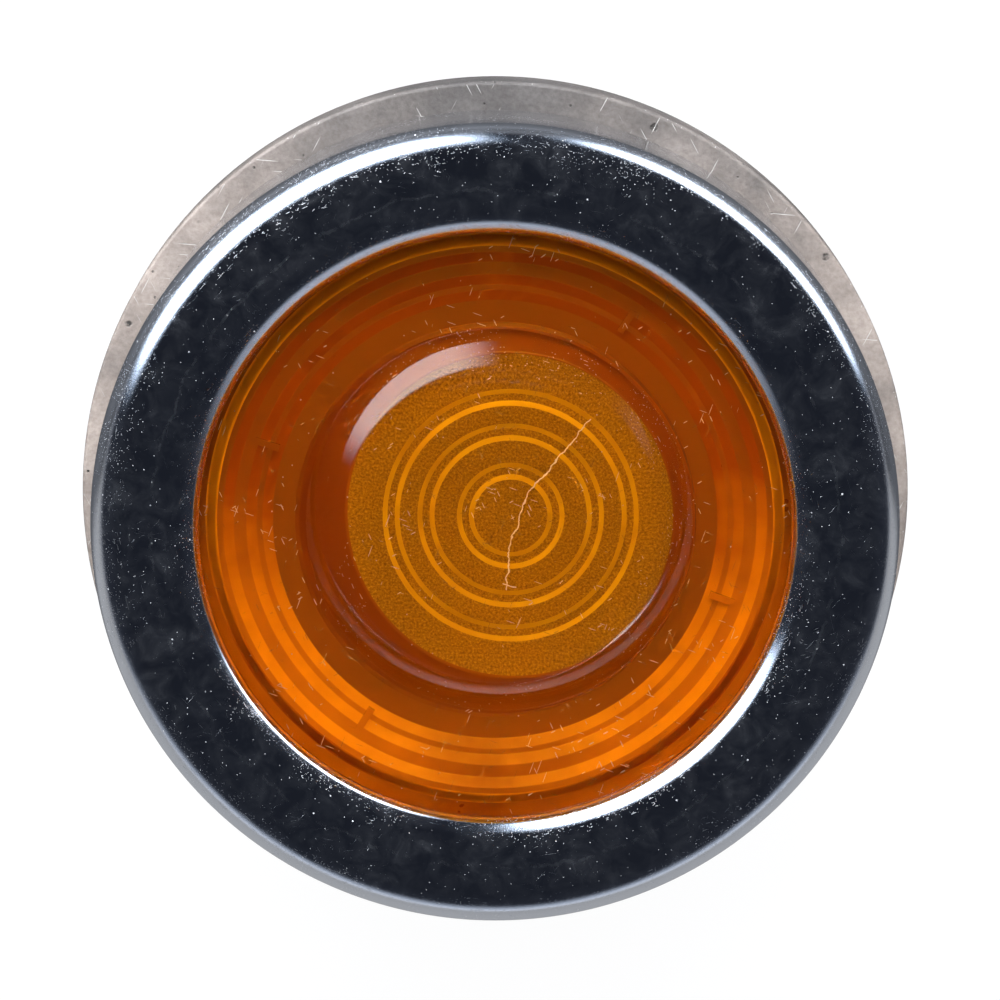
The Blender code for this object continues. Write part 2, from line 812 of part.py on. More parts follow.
def make_terminals():
    """A brass clamp and its screw for each pole of the terminal block."""
    half_y = BLOCK_SIZE[1] / 2 - GAP
    front, back = BLOCK_Y - half_y, BLOCK_Y + half_y
    half = 2.2 * MM
    head_z = POLE_Z + 2.5 * MM
    head_top = BLOCK_TOP_Z - 0.4 * MM
    for number, x in enumerate((-POLE_X, POLE_X), 1):
        box = bmesh.new()
        add_box(box, (x - half, front, POLE_Z - half), (x + half, back, POLE_Z + half))
        bore = bmesh.new()
        add_rod(bore, 1.3 * MM, (x, front - MM, POLE_Z), (x, back + MM, POLE_Z))
        way = bmesh.new()
        add_rod(way, 1.3 * MM, (x, BLOCK_Y, POLE_Z), (x, BLOCK_Y, BLOCK_TOP_Z))
        clamp = from_bmesh(f"terminal_clamp_{number}", box, "brass")
        cut(clamp, bore, f"clamp_bore_{number}")
        cut(clamp, way, f"clamp_screw_way_{number}")
        head = bmesh.new()
        add_rod(head, 1.9 * MM, (x, BLOCK_Y, head_z), (x, BLOCK_Y, head_top))
        shank = bmesh.new()
        add_rod(shank, MM, (x, BLOCK_Y, POLE_Z + 0.9 * MM), (x, BLOCK_Y, head_z + 0.5 * MM))
        slot = bmesh.new()
        add_box(slot, (x - 3 * MM, BLOCK_Y - GAP, head_top - MM),
                (x + 3 * MM, BLOCK_Y + GAP, head_top + MM))
        screw = from_bmesh(f"terminal_screw_{number}", head, "brass")
        join(screw, shank, f"terminal_shank_{number}")
        cut(screw, slot, f"terminal_slot_{number}")


def make_block_screw():
    low = FLOOR_Z + 1.6 * MM
    head_z = BLOCK_TOP_Z + GAP
    turned(
        "block_screw",
        [
            (0.0, head_z + 1.6 * MM),
            (2.3 * MM, head_z + 1.6 * MM, 0.5 * MM),
            (2.3 * MM, head_z),
            (1.35 * MM, head_z),
            (1.35 * MM, low),
            (0.0, low),
        ],
        "steel",
        closed=False,
        sides=TINY_SIDES,
    ).location = (0, BLOCK_Y, 0)


def make_leads():
    start_y = BLOCK_Y + BLOCK_SIZE[1] / 2 + 0.2 * MM
    tag_z = SOCKET_Z - 1.1 * MM
    radius = 0.7 * MM
    live = [
        (-POLE_X, start_y, POLE_Z),
        (-POLE_X, start_y + 1.8 * MM, POLE_Z + 0.4 * MM),
        (-4.0 * MM, -5.8 * MM, 22.3 * MM),
        (-2.0 * MM, -6.0 * MM, tag_z - 1.2 * MM),
        (0.0, -6.6 * MM, tag_z - 1.0 * MM),
    ]
    wire("live_lead", smooth_path(live), radius, "red_wire")
    back = [
        (POLE_X, start_y, POLE_Z),
        (POLE_X, start_y + 2.0 * MM, POLE_Z + 0.8 * MM),
        (8.0 * MM, -5.0 * MM, 27.0 * MM),
        (7.5 * MM, -7.5 * MM, 35.0 * MM),
        (3.0 * MM, -10.0 * MM, 39.0 * MM),
        (0.0, -10.0 * MM, HUB_Z - 2.0 * MM),
    ]
    wire("return_lead", smooth_path(back), radius, "black_wire")


# Cable gland


def hexagon(bm, across_flats, low, high):
    add_rod(bm, across_flats / math.sqrt(3), (0, 0, low), (0, 0, high), 6)


def make_gland_body():
    hex_low = 9.0 * MM
    hex_high = FLOOR_Z - 1.3 * MM
    top = FLOOR_Z + FLOOR_THICKNESS + 3.8 * MM
    low = 5.0 * MM
    body = turned(
        "gland_body",
        [
            (GLAND_THREAD_RADIUS, top, 0.4 * MM),
            (GLAND_THREAD_RADIUS, low),
            (GLAND_POCKET, low),
            (GLAND_POCKET, GLAND_SHOULDER_Z),
            (GLAND_BORE, GLAND_SHOULDER_Z),
            (GLAND_BORE, top),
        ],
        "brass",
        sides=SMALL_SIDES,
    )
    ring = bmesh.new()
    hexagon(ring, GLAND_HEX, hex_low, hex_high)
    collar = from_bmesh("gland_collar", ring)
    bore = bmesh.new()
    wall = (GLAND_THREAD_RADIUS + GLAND_POCKET) / 2
    add_rod(bore, wall, (0, 0, hex_low - MM), (0, 0, hex_high + MM), SMALL_SIDES)
    cut(collar, bore, "gland_collar_bore")
    combine(body, collar, "UNION")


def make_gland_washer():
    outer = GLAND_HOLE_RADIUS + 2.2 * MM
    turned(
        "gland_washer",
        [
            (outer, FLOOR_Z - GAP),
            (outer, FLOOR_Z - MM),
            (GLAND_HOLE_RADIUS, FLOOR_Z - MM),
            (GLAND_HOLE_RADIUS, FLOOR_Z - GAP),
        ],
        "rubber",
        sides=SMALL_SIDES,
    )


def make_gland_locknut():
    low = FLOOR_Z + FLOOR_THICKNESS + GAP
    bm = bmesh.new()
    hexagon(bm, GLAND_HEX, low, low + 2.8 * MM)
    nut = from_bmesh("gland_locknut", bm, "brass")
    bore = bmesh.new()
    add_rod(bore, GLAND_HOLE_RADIUS, (0, 0, low - MM), (0, 0, low + 4 * MM), SMALL_SIDES)
    cut(nut, bore, "locknut_bore")


def make_gland_seal():
    outer = GLAND_POCKET - GAP
    top = GLAND_SHOULDER_Z - GAP
    low = GLAND_NUT_Z + 2.0 * MM
    turned(
        "gland_seal",
        [
            (outer, top),
            (outer, low + 0.9 * MM),
            (outer - 0.5 * MM, low),
            (GLAND_BORE, low),
            (GLAND_BORE, top),
        ],
        "rubber",
        sides=SMALL_SIDES,
    )


def make_gland_nut():
    bm = bmesh.new()
    hexagon(bm, GLAND_HEX, GLAND_NUT_Z, GLAND_NUT_Z + 6.2 * MM)
    nut = from_bmesh("gland_nut", bm, "brass")
    bevel = nut.modifiers.new("edges", "BEVEL")
    bevel.width = 0.6 * MM
    bevel.segments = 1
    bore = bmesh.new()
    floor = GLAND_NUT_Z + 1.6 * MM
    add_rod(bore, GLAND_HOLE_RADIUS, (0, 0, floor), (0, 0, FLOOR_Z), SMALL_SIDES)
    cable_way = bmesh.new()
    add_rod(cable_way, GLAND_BORE + GAP, (0, 0, 0), (0, 0, floor + 2 * MM), SMALL_SIDES)
    cut(nut, bore, "gland_nut_bore")
    cut(nut, cable_way, "gland_nut_cable_way")


# Ring nut


def make_ring_nut():
    bore = CAN_RADIUS + GAP
    nut = turned(
        "ring_nut",
        [
            (NUT_RADIUS, NUT_Z + NUT_HEIGHT, 0.6 * MM),
            (NUT_RADIUS, NUT_Z, 0.6 * MM),
            (bore, NUT_Z),
            (bore, NUT_Z + NUT_HEIGHT),
        ],
        "cast",
        arc_steps=2,
    )
    bm = bmesh.new()
    for i in range(NUT_NOTCHES):
        angle = 360.0 * (i + 0.5) / NUT_NOTCHES
        low = on_circle(NUT_RADIUS + 1.2 * MM, angle, NUT_Z - MM)
        add_rod(bm, 3.2 * MM, low, low + Vector((0, 0, NUT_HEIGHT + 2 * MM)), 16)
    cut(nut, bm, "ring_nut_grips")


def make_nut_washer():
    low = NUT_Z + NUT_HEIGHT + GAP
    turned(
        "nut_washer",
        [
            (NUT_RADIUS - 0.5 * MM, low + WASHER_THICKNESS),
            (NUT_RADIUS - 0.5 * MM, low),
            (CAN_RADIUS + 0.5 * MM, low),
            (CAN_RADIUS + 0.5 * MM, low + WASHER_THICKNESS),
        ],
        "steel",
    )


make_housing()
make_flange_gasket()
make_lens_gasket()
make_bezel_ring()
make_slip_ring()
make_lens()
make_reflector()
make_lampholder_plate()
make_plate_screws()
make_socket_shell()
make_socket_rivets()
make_socket_bottom()
make_live_tag()
make_return_tag()
make_contact_plunger()
make_bulb_cap()
make_bulb_base()
make_bulb_glass()
make_bulb_stem()
make_filament()
make_terminal_block()
make_terminals()
make_block_screw()
make_leads()
make_gland_body()
make_gland_washer()
make_gland_locknut()
make_gland_seal()
make_gland_nut()
make_ring_nut()
make_nut_washer()
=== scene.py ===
"""Looks of the round amber marker lamp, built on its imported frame.

Positions are read from the frame's boxes and given in metres. The lamp's axis is the Z axis.
"""

import math

import bmesh
import bpy
from mathutils import Matrix, Vector


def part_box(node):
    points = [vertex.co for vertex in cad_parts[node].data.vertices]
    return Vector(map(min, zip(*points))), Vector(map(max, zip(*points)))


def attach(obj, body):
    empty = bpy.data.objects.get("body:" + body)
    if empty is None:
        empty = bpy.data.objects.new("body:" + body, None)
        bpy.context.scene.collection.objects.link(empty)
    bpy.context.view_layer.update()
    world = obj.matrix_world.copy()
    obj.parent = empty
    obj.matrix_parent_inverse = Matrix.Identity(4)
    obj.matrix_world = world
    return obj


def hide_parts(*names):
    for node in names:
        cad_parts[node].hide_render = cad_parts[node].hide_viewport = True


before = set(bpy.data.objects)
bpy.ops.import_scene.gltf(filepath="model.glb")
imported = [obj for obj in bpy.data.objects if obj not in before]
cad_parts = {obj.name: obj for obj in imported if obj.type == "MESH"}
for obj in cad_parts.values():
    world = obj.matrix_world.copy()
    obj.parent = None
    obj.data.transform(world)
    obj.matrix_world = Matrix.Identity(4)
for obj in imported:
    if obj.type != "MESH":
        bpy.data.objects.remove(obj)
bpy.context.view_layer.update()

MM = 0.001
MM_PER_METRE = 1000.0
SEGMENTS = 192


def low(node):
    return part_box(node)[0]


def high(node):
    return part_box(node)[1]


# ---------------------------------------------------------------- shader nodes


def node(tree, kind, inputs=None, **settings):
    """Adds a shader node. Inputs are values, or sockets to link from."""
    made = tree.nodes.new("ShaderNode" + kind)
    for key, value in settings.items():
        setattr(made, key, value)
    for key, value in (inputs or {}).items():
        if isinstance(value, bpy.types.NodeSocket):
            tree.links.new(value, made.inputs[key])
        else:
            made.inputs[key].default_value = value
    return made


def math_node(tree, operation, a, b=0.0, c=0.0, clamp=False):
    return node(tree, "Math", {0: a, 1: b, 2: c}, operation=operation, use_clamp=clamp).outputs[0]


def times(tree, a, b):
    return math_node(tree, "MULTIPLY", a, b)


def larger(tree, a, b):
    return math_node(tree, "MAXIMUM", a, b)


def scale_add(tree, value, factor, extra, clamp=False):
    """The value times the factor, plus the extra."""
    return math_node(tree, "MULTIPLY_ADD", value, factor, extra, clamp)


def millimetres(tree, scale=(1.0, 1.0, 1.0), turn=(0.0, 0.0, 0.0), shift=(0.0, 0.0, 0.0)):
    """Object coordinates in millimetres, turned, then divided by the given sizes."""
    coords = node(tree, "TexCoord").outputs["Object"]
    spin = {"Vector": coords, "Rotation": [math.radians(a) for a in turn]}
    turned = node(tree, "Mapping", spin, vector_type="POINT").outputs[0]
    place = {"Vector": turned, "Scale": [MM_PER_METRE / s for s in scale], "Location": shift}
    return node(tree, "Mapping", place, vector_type="POINT").outputs[0]


def in_plan(tree, point):
    """The same point with its height left out."""
    return node(tree, "VectorMath", {0: point, 1: (1.0, 1.0, 0.0)}, operation="MULTIPLY").outputs[0]


def noise(tree, size, detail=2.0, rough=0.5, distortion=0.0, shift=0.0, stretch=(1, 1, 1)):
    """Noise with features of about this size in millimetres."""
    coords = millimetres(tree, [size * s for s in stretch], shift=(shift, shift, shift))
    inputs = {"Vector": coords, "Scale": 1.0, "Detail": detail, "Roughness": rough, "Distortion": distortion}
    return node(tree, "TexNoise", inputs).outputs[0]


def ramp(tree, value, stops):
    """Maps a value through colours or greys given as (position, colour)."""
    made = node(tree, "ValToRGB", {"Fac": value})
    elements = made.color_ramp.elements
    while len(elements) < len(stops):
        elements.new(0.5)
    for element, (position, colour) in zip(elements, stops):
        element.position = position
        if isinstance(colour, (int, float)):
            colour = (colour, colour, colour)
        element.color = (*colour, 1.0)
    return made.outputs[0]


def mix(tree, factor, a, b, mode="MIX"):
    """Mixes two colours, given as sockets or as triples."""
    made = node(tree, "Mix", data_type="RGBA", blend_type=mode)
    for index, value in ((0, factor), (6, a), (7, b)):
        if isinstance(value, bpy.types.NodeSocket):
            tree.links.new(value, made.inputs[index])
        elif index:
            made.inputs[index].default_value = (*value, 1.0)
        else:
            made.inputs[index].default_value = value
    return made.outputs[2]


def step(tree, value, edge, width):
    """1 below the edge, 0 above it, with a soft change of the given width."""
    inputs = {"Value": value, "From Min": edge, "From Max": edge + width, "To Min": 1.0, "To Max": 0.0}
    return node(tree, "MapRange", inputs, interpolation_type="SMOOTHSTEP").outputs[0]


def cell_distance(tree, coords):
    """How far each place is from the middle of its cell, in cells."""
    return node(tree, "TexVoronoi", {"Vector": coords, "Scale": 1.0}, feature="F1").outputs["Distance"]


def dashes(tree, length, width, spacing, turn, shift, reach=0.12):
    """Short straight scratches in one direction, about one in each stretched cell."""
    along = length / (2 * reach)
    across = max(width / (2 * reach), spacing * 0.2)
    coords = millimetres(tree, (along, across, across), (0, 0, turn), (shift, shift, shift))
    return step(tree, cell_distance(tree, coords), reach * 0.6, reach * 0.4)


def scratches(tree, layers):
    """The strongest of several layers of dashes."""
    total = None
    for layer in layers:
        one = dashes(tree, *layer)
        total = one if total is None else larger(tree, total, one)
    return total


def specks(tree, spacing, size, shift):
    """Round specks of about this size in millimetres."""
    coords = millimetres(tree, (spacing, spacing, spacing), shift=(shift, shift, shift))
    edge = size / (2 * spacing)
    return step(tree, cell_distance(tree, coords), edge * 0.6, edge * 0.6)


def new_material(name):
    made = bpy.data.materials.new(name)
    made.use_nodes = True
    shader = made.node_tree.nodes["Principled BSDF"]
    return made, made.node_tree, shader


def connect(tree, shader, **sockets):
    """Links or sets the shader's inputs, named with underscores for spaces."""
    for key, value in sockets.items():
        socket = shader.inputs[key.replace("_", " ")]
        if isinstance(value, bpy.types.NodeSocket):
            tree.links.new(value, socket)
        elif isinstance(value, tuple):
            socket.default_value = (*value, 1.0)
        else:
            socket.default_value = value


def bump(tree, height, distance, strength=1.0, normal=None):
    """A bump of the given depth in millimetres."""
    inputs = {"Height": height, "Distance": distance * MM, "Strength": strength}
    if normal is not None:
        inputs["Normal"] = normal
    return node(tree, "Bump", inputs).outputs[0]


# ------------------------------------------------------------------- materials


RUBBED_RADIUS = 30.4


def make_chrome():
    """Bright plating: fine scratches, dust, a thin film and a rubbed ring, whose radius is in millimetres."""
    made, tree, shader = new_material("bright_chrome")
    layers = [
        (2.0, 0.05, 0.8, 12, 0.0),
        (1.2, 0.06, 0.8, 48, 5.3),
        (2.4, 0.05, 0.8, 77, 9.1),
        (0.9, 0.07, 0.8, 101, 14.7),
        (1.6, 0.05, 0.8, 131, 21.3),
        (0.8, 0.07, 0.8, 158, 30.9),
        (3.0, 0.05, 0.8, 171, 37.7),
    ]
    marks = scratches(tree, layers)
    patches = ramp(tree, noise(tree, 7.0, 3.0, 0.6), [(0.40, 0.15), (0.60, 1.0)])
    marks = times(tree, marks, patches)
    fine = noise(tree, 0.13, 3.0, 0.75)
    around = in_plan(tree, millimetres(tree))
    radius = node(tree, "VectorMath", {0: around}, operation="LENGTH").outputs["Value"]
    wander = scale_add(tree, noise(tree, 3.0, 3.0, 0.6, 0.0, 4.4), 1.6, radius)
    from_ring = math_node(tree, "ABSOLUTE", math_node(tree, "SUBTRACT", wander, RUBBED_RADIUS))
    rubbed = step(tree, from_ring, 0.05, 0.22)
    rubbed = times(tree, rubbed, step(tree, noise(tree, 1.1, 4.0, 0.7), 0.45, 0.14))
    marks = larger(tree, marks, times(tree, rubbed, 0.8))
    haze = noise(tree, 2.4, 4.0, 0.65, 0.6, 2.2)
    dust = larger(tree, specks(tree, 0.62, 0.09, 0.7), specks(tree, 1.7, 0.17, 8.1))
    dust = times(tree, dust, scale_add(tree, patches, 0.6, 0.25))
    film = ramp(tree, haze, [(0.40, 0.0), (0.56, 0.3), (0.74, 1.0)])
    rough = scale_add(tree, film, 0.13, 0.07)
    rough = scale_add(tree, marks, 0.28, rough)
    rough = scale_add(tree, dust, 0.5, rough, clamp=True)
    tint = mix(tree, marks, (0.84, 0.87, 0.93), (0.80, 0.83, 0.88))
    colour = mix(tree, dust, tint, (0.62, 0.62, 0.63))
    metal = scale_add(tree, dust, -0.85, scale_add(tree, film, -0.012, 1.0))
    height = scale_add(tree, marks, -0.6, times(tree, fine, 0.5))
    height = scale_add(tree, dust, 0.5, height)
    normal = bump(tree, height, 0.011)
    connect(tree, shader, Base_Color=colour, Metallic=metal, Roughness=rough, Normal=normal)
    return made


def make_cast():
    """Weathered casting: mottled grey, with painted shade that makes it darker along its middle (near X = 0)
    and lighter to both sides, with pits and pale scratches.
    """
    made, tree, shader = new_material("weathered_casting")
    broad = noise(tree, 7.0, 5.0, 0.62)
    grain = noise(tree, 0.5, 4.0, 0.7)
    tones = [(0.25, (0.15, 0.14, 0.133)), (0.5, (0.25, 0.225, 0.207)), (0.75, (0.36, 0.325, 0.30))]
    fleck_tones = [(0.3, (0.74, 0.72, 0.71)), (0.6, (1.0, 1.0, 1.0)), (0.8, (1.15, 1.12, 1.08))]
    colour = mix(tree, 1.0, ramp(tree, broad, tones), ramp(tree, grain, fleck_tones), "MULTIPLY")
    # Painted shade: darker near X = 0 and lighter towards both sides in X, for how the light falls on the
    # flange, mixed with broad random mottling.
    across = node(tree, "SeparateXYZ", {0: millimetres(tree, (30.0, 30.0, 30.0))}).outputs["X"]
    mottle_and_painted_shade = scale_add(tree, math_node(tree, "ABSOLUTE", across), -0.8, 0.62)
    mottle_and_painted_shade = scale_add(tree, noise(tree, 12.0, 4.0, 0.6, 0.0, 7.3), 0.7, mottle_and_painted_shade, clamp=True)
    mottle_and_shade_tones = [(0.12, (1.45, 1.36, 1.30)), (0.5, (0.95, 0.93, 0.92)), (0.9, (0.56, 0.57, 0.59))]
    colour = mix(tree, 1.0, colour, ramp(tree, mottle_and_painted_shade, mottle_and_shade_tones), "MULTIPLY")
    pits = larger(tree, specks(tree, 4.2, 0.75, 2.9), specks(tree, 1.7, 0.26, 6.6))
    pits = times(tree, pits, ramp(tree, noise(tree, 0.35, 2.0), [(0.3, 0.2), (0.6, 1.0)]))
    colour = mix(tree, pits, colour, (0.06, 0.055, 0.05))
    layers = [(3.0, 0.10, 1.0, 5, 1.7), (2.0, 0.09, 1.0, 62, 7.9), (2.4, 0.1, 1.0, 118, 12.3)]
    marks = scratches(tree, layers)
    colour = mix(tree, times(tree, marks, 0.7), colour, (0.66, 0.63, 0.60))
    rough = scale_add(tree, grain, 0.25, 0.42)
    rough = scale_add(tree, marks, -0.2, rough)
    height = scale_add(tree, pits, -1.0, times(tree, grain, 0.35))
    height = scale_add(tree, marks, -0.25, height)
    height = scale_add(tree, noise(tree, 1.6, 3.0), 0.6, height)
    normal = bump(tree, height, 0.09)
    connect(tree, shader, Base_Color=colour, Metallic=0.35, Roughness=rough, Normal=normal)
    return made


def amber_base(name, tint):
    """Clear amber plastic, with its shader set for glass-like transmission."""
    made, tree, shader = new_material(name)
    connect(tree, shader, IOR=1.49, Transmission_Weight=1.0, Metallic=0.0, Base_Color=tint)
    return made, tree, shader


def make_amber_clear():
    """The lens's smooth outer face: fine scratches, dust and one long hairline crack."""
    tint = (1.0, 0.50, 0.02)
    made, tree, shader = amber_base("amber_clear", tint)
    layers = [
        (1.1, 0.07, 1.0, 20, 3.0),
        (0.8, 0.09, 1.0, 65, 8.2),
        (1.5, 0.07, 1.0, 110, 13.8),
        (0.6, 0.1, 1.0, 150, 19.1),
    ]
    marks = scratches(tree, layers)
    marks = times(tree, marks, ramp(tree, noise(tree, 6.0, 3.0, 0.6, 0.0, 5.0), [(0.45, 0.0), (0.62, 1.0)]))
    crack = make_crack(tree)
    dust = specks(tree, 1.5, 0.13, 4.9)
    seen = larger(tree, marks, larger(tree, crack, dust))
    rough = scale_add(tree, seen, 0.6, times(tree, noise(tree, 5.0, 3.0), 0.05))
    colour = mix(tree, seen, tint, (0.52, 0.25, 0.12))
    clear = scale_add(tree, seen, -0.6, 1.0)
    height = times(tree, seen, -1.0)
    normal = bump(tree, height, 0.02)
    connect(tree, shader, Base_Color=colour, Roughness=rough, Transmission_Weight=clear, Normal=normal)
    return made


def segment_distance(tree, start, end):
    """Distance in millimetres, in plan, to the segment between two points, wavered by noise."""
    wobble = noise(tree, 1.1, 3.0, 0.6, 0.0, 2.0)
    coords = millimetres(tree)
    sideways = node(tree, "CombineXYZ", {"X": wobble, "Y": 0.0, "Z": 0.0}).outputs[0]
    shaken = node(tree, "VectorMath", {0: coords, 1: sideways}, operation="ADD").outputs[0]
    flat = in_plan(tree, shaken)
    along = Vector((*end, 0.0)) - Vector((*start, 0.0))
    middle_wobble = 0.5
    origin = (start[0] + middle_wobble, start[1], 0.0)
    offset = node(tree, "VectorMath", {0: flat, 1: origin}, operation="SUBTRACT").outputs[0]
    dot = node(tree, "VectorMath", {0: offset, 1: tuple(along)}, operation="DOT_PRODUCT").outputs["Value"]
    share = math_node(tree, "DIVIDE", dot, along.length_squared, clamp=True)
    foot = node(tree, "VectorMath", {0: tuple(along), "Scale": share}, operation="SCALE").outputs[0]
    return node(tree, "VectorMath", {0: offset, 1: foot}, operation="DISTANCE").outputs["Value"]


def make_crack(tree):
    """A hairline that runs across the raised centre, with a bend in its middle and a short spur."""
    points = ((8.2, 9.6), (3.0, 3.4), (1.2, -1.4), (1.0, -5.2))
    total = None
    for start, end in zip(points, points[1:]):
        line = step(tree, segment_distance(tree, start, end), 0.02, 0.07)
        total = line if total is None else larger(tree, total, line)
    spur = step(tree, segment_distance(tree, (0.6, -4.7), (1.7, -5.0)), 0.02, 0.07)
    broken = ramp(tree, noise(tree, 0.6, 3.0, 0.7), [(0.35, 0.5), (0.6, 0.95)])
    return times(tree, larger(tree, total, spur), broken)


def make_amber_stippled():
    """The lens's moulded centre: finely stippled underneath, so that light scatters in it."""
    made, tree, shader = amber_base("amber_stippled", (1.0, 0.55, 0.10))
    grain = noise(tree, 0.20, 3.0, 0.7)
    blotches = noise(tree, 3.0, 3.0, 0.5, 0.0, 1.5)
    tones = [(0.35, (0.18, 0.07, 0.005)), (0.5, (0.37, 0.17, 0.011)), (0.68, (0.62, 0.35, 0.03))]
    colour = ramp(tree, grain, tones)
    rough = scale_add(tree, blotches, 0.15, 0.42)
    normal = bump(tree, grain, 0.06)
    connect(tree, shader, Base_Color=colour, Roughness=rough, Transmission_Weight=0.35, Normal=normal)
    return made


def make_amber_inner(name, deep, pale, rough, clear):
    """The lens's underside: plastic of uneven tone, with a painted glow that shifts it from its deep colour
    to its pale colour towards -Y, most of all beside its middle there.
    """
    made, tree, shader = amber_base(name, pale)
    waves = noise(tree, 2.0, 2.0, 0.4)
    patches = ramp(tree, noise(tree, 9.0, 3.0, 0.55, 0.3, 1.9), [(0.36, 0.0), (0.6, 1.0)])
    # Painted glow: lean rises towards -Y, more so away from X = 0, and stands for the light that falls
    # through the lens onto the lower half of its underside.
    across = node(tree, "SeparateXYZ", {0: millimetres(tree, (24.0, 24.0, 24.0))})
    corner = times(tree, math_node(tree, "ABSOLUTE", across.outputs["X"]), -1.4)
    lean = times(tree, across.outputs["Y"], math_node(tree, "ADD", corner, -0.04))
    lean = math_node(tree, "ADD", lean, -0.12)
    streaks_and_painted_glow = scale_add(tree, waves, 0.25, times(tree, patches, 0.3))
    streaks_and_painted_glow = math_node(tree, "ADD", streaks_and_painted_glow, lean, clamp=True)
    colour = mix(tree, streaks_and_painted_glow, deep, pale)
    value = scale_add(tree, waves, 0.1, rough)
    normal = bump(tree, waves, 0.05)
    connect(tree, shader, Base_Color=colour, Roughness=value, Transmission_Weight=clear, Normal=normal)
    return made


def make_metal(name, dark, light, rough, mark_strength, grain_size=0.3):
    """A plated, drawn or turned metal, with tarnish, fine grain and scratches."""
    made, tree, shader = new_material(name)
    broad = noise(tree, 3.0, 4.0, 0.6)
    grain = noise(tree, grain_size, 3.0, 0.6)
    marks = scratches(tree, [(1.8, 0.06, 1.0, 15, 2.0), (1.2, 0.07, 1.0, 95, 6.0)])
    colour = mix(tree, broad, dark, light)
    colour = mix(tree, times(tree, marks, 0.4), colour, light)
    value = scale_add(tree, broad, 0.2, rough - 0.1)
    value = scale_add(tree, marks, mark_strength, value, clamp=True)
    height = scale_add(tree, marks, -0.6, grain)
    normal = bump(tree, height, 0.012)
    connect(tree, shader, Base_Color=colour, Metallic=1.0, Roughness=value, Normal=normal)
    return made


def make_reflector_metal():
    """Spun aluminium: fine turning rings round the axis, with a satin finish."""
    made, tree, shader = new_material("spun_aluminium")
    ring_pitch = 0.32
    endless = 1e6
    coords = millimetres(tree, (ring_pitch, ring_pitch, endless))
    inputs = {"Vector": coords, "Scale": 1.0, "Distortion": 0.6, "Detail": 2.0}
    rings = node(tree, "TexWave", inputs, wave_type="RINGS", rings_direction="Z").outputs[1]
    haze = noise(tree, 4.0, 4.0, 0.6)
    colour = mix(tree, haze, (0.70, 0.69, 0.67), (0.88, 0.87, 0.85))
    rough = scale_add(tree, haze, 0.15, 0.2)
    normal = bump(tree, rings, 0.01)
    connect(tree, shader, Base_Color=colour, Metallic=1.0, Roughness=rough, Normal=normal)
    return made


def make_matt(name, dark, light, rough, depth, grain_size=0.35, dust=0.0):
    """A moulded plastic or rubber, with mottled colour, moulded grain and a little dust."""
    made, tree, shader = new_material(name)
    broad = noise(tree, 4.0, 4.0, 0.6)
    grain = noise(tree, grain_size, 3.0, 0.6)
    colour = mix(tree, broad, dark, light)
    if dust:
        grey = tuple(min(1.0, c + dust) for c in light)
        colour = mix(tree, specks(tree, 1.3, 0.22, 3.3), colour, grey)
    value = scale_add(tree, grain, 0.2, rough - 0.1)
    connect(tree, shader, Base_Color=colour, Roughness=value, Normal=bump(tree, grain, depth))
    return made


def make_bulb_glass_material():
    """Clear glass with faint smears."""
    made, tree, shader = new_material("clear_glass")
    smears = noise(tree, 2.5, 4.0, 0.6, 0.8)
    rough = times(tree, smears, 0.06)
    colour = mix(tree, smears, (0.97, 0.98, 0.98), (1.0, 1.0, 1.0))
    normal = bump(tree, smears, 0.004)
    connect(tree, shader, Base_Color=colour, Roughness=rough, IOR=1.5, Transmission_Weight=1.0, Normal=normal)
    return made


CHROME = make_chrome()
CAST = make_cast()
AMBER_CLEAR = make_amber_clear()
AMBER_STIPPLED = make_amber_stippled()
# Painted glow: these are one amber plastic in several colours. The walls, ridges and rim get paler colours
# than the treads, standing for light caught along the steps. Each but amber_deep turns from its first colour
# to its second towards -Y. The rim's second colour is the darker one, so the rim carries a painted light
# along its top.
AMBER_DEEP = make_amber_inner("amber_deep", (0.30, 0.055, 0.003), (0.30, 0.06, 0.003), 0.32, 0.35)
AMBER_OUTER = make_amber_inner("amber_outer", (0.33, 0.06, 0.004), (0.80, 0.26, 0.012), 0.25, 0.3)
AMBER_WALL = make_amber_inner("amber_wall", (0.36, 0.075, 0.004), (1.0, 0.44, 0.02), 0.3, 0.1)
AMBER_RIM = make_amber_inner("amber_rim", (1.0, 0.48, 0.03), (0.50, 0.12, 0.008), 0.3, 0.0)
AMBER_RIDGE = make_amber_inner("amber_ridge", (0.62, 0.36, 0.02), (0.98, 0.74, 0.05), 0.3, 0.1)
RUBBER = make_matt("black_rubber", (0.012, 0.012, 0.013), (0.03, 0.03, 0.031), 0.72, 0.03, 0.3, 0.12)
NYLON = make_matt("natural_nylon", (0.60, 0.57, 0.49), (0.75, 0.73, 0.66), 0.48, 0.02)
REFLECTOR = make_reflector_metal()
STEEL = make_metal("zinc_plated_steel", (0.42, 0.43, 0.46), (0.68, 0.68, 0.67), 0.36, 0.2)
BRASS = make_metal("brass", (0.50, 0.32, 0.12), (0.80, 0.60, 0.28), 0.34, 0.2)
PHENOLIC = make_matt("phenolic", (0.055, 0.022, 0.012), (0.12, 0.05, 0.03), 0.45, 0.02)
PLASTIC = make_matt("black_moulding", (0.02, 0.02, 0.021), (0.05, 0.05, 0.052), 0.5, 0.02)
GLASS = make_bulb_glass_material()
TUNGSTEN = make_metal("tungsten", (0.18, 0.18, 0.19), (0.34, 0.34, 0.33), 0.45, 0.1, 0.1)
SOLDER = make_metal("solder", (0.45, 0.45, 0.47), (0.68, 0.68, 0.70), 0.38, 0.1, 0.15)
RED_WIRE = make_matt("red_sleeve", (0.30, 0.012, 0.01), (0.52, 0.03, 0.02), 0.42, 0.01)
BLACK_WIRE = make_matt("black_sleeve", (0.012, 0.012, 0.012), (0.03, 0.03, 0.03), 0.42, 0.01)


# ----------------------------------------------------------------- mesh makers


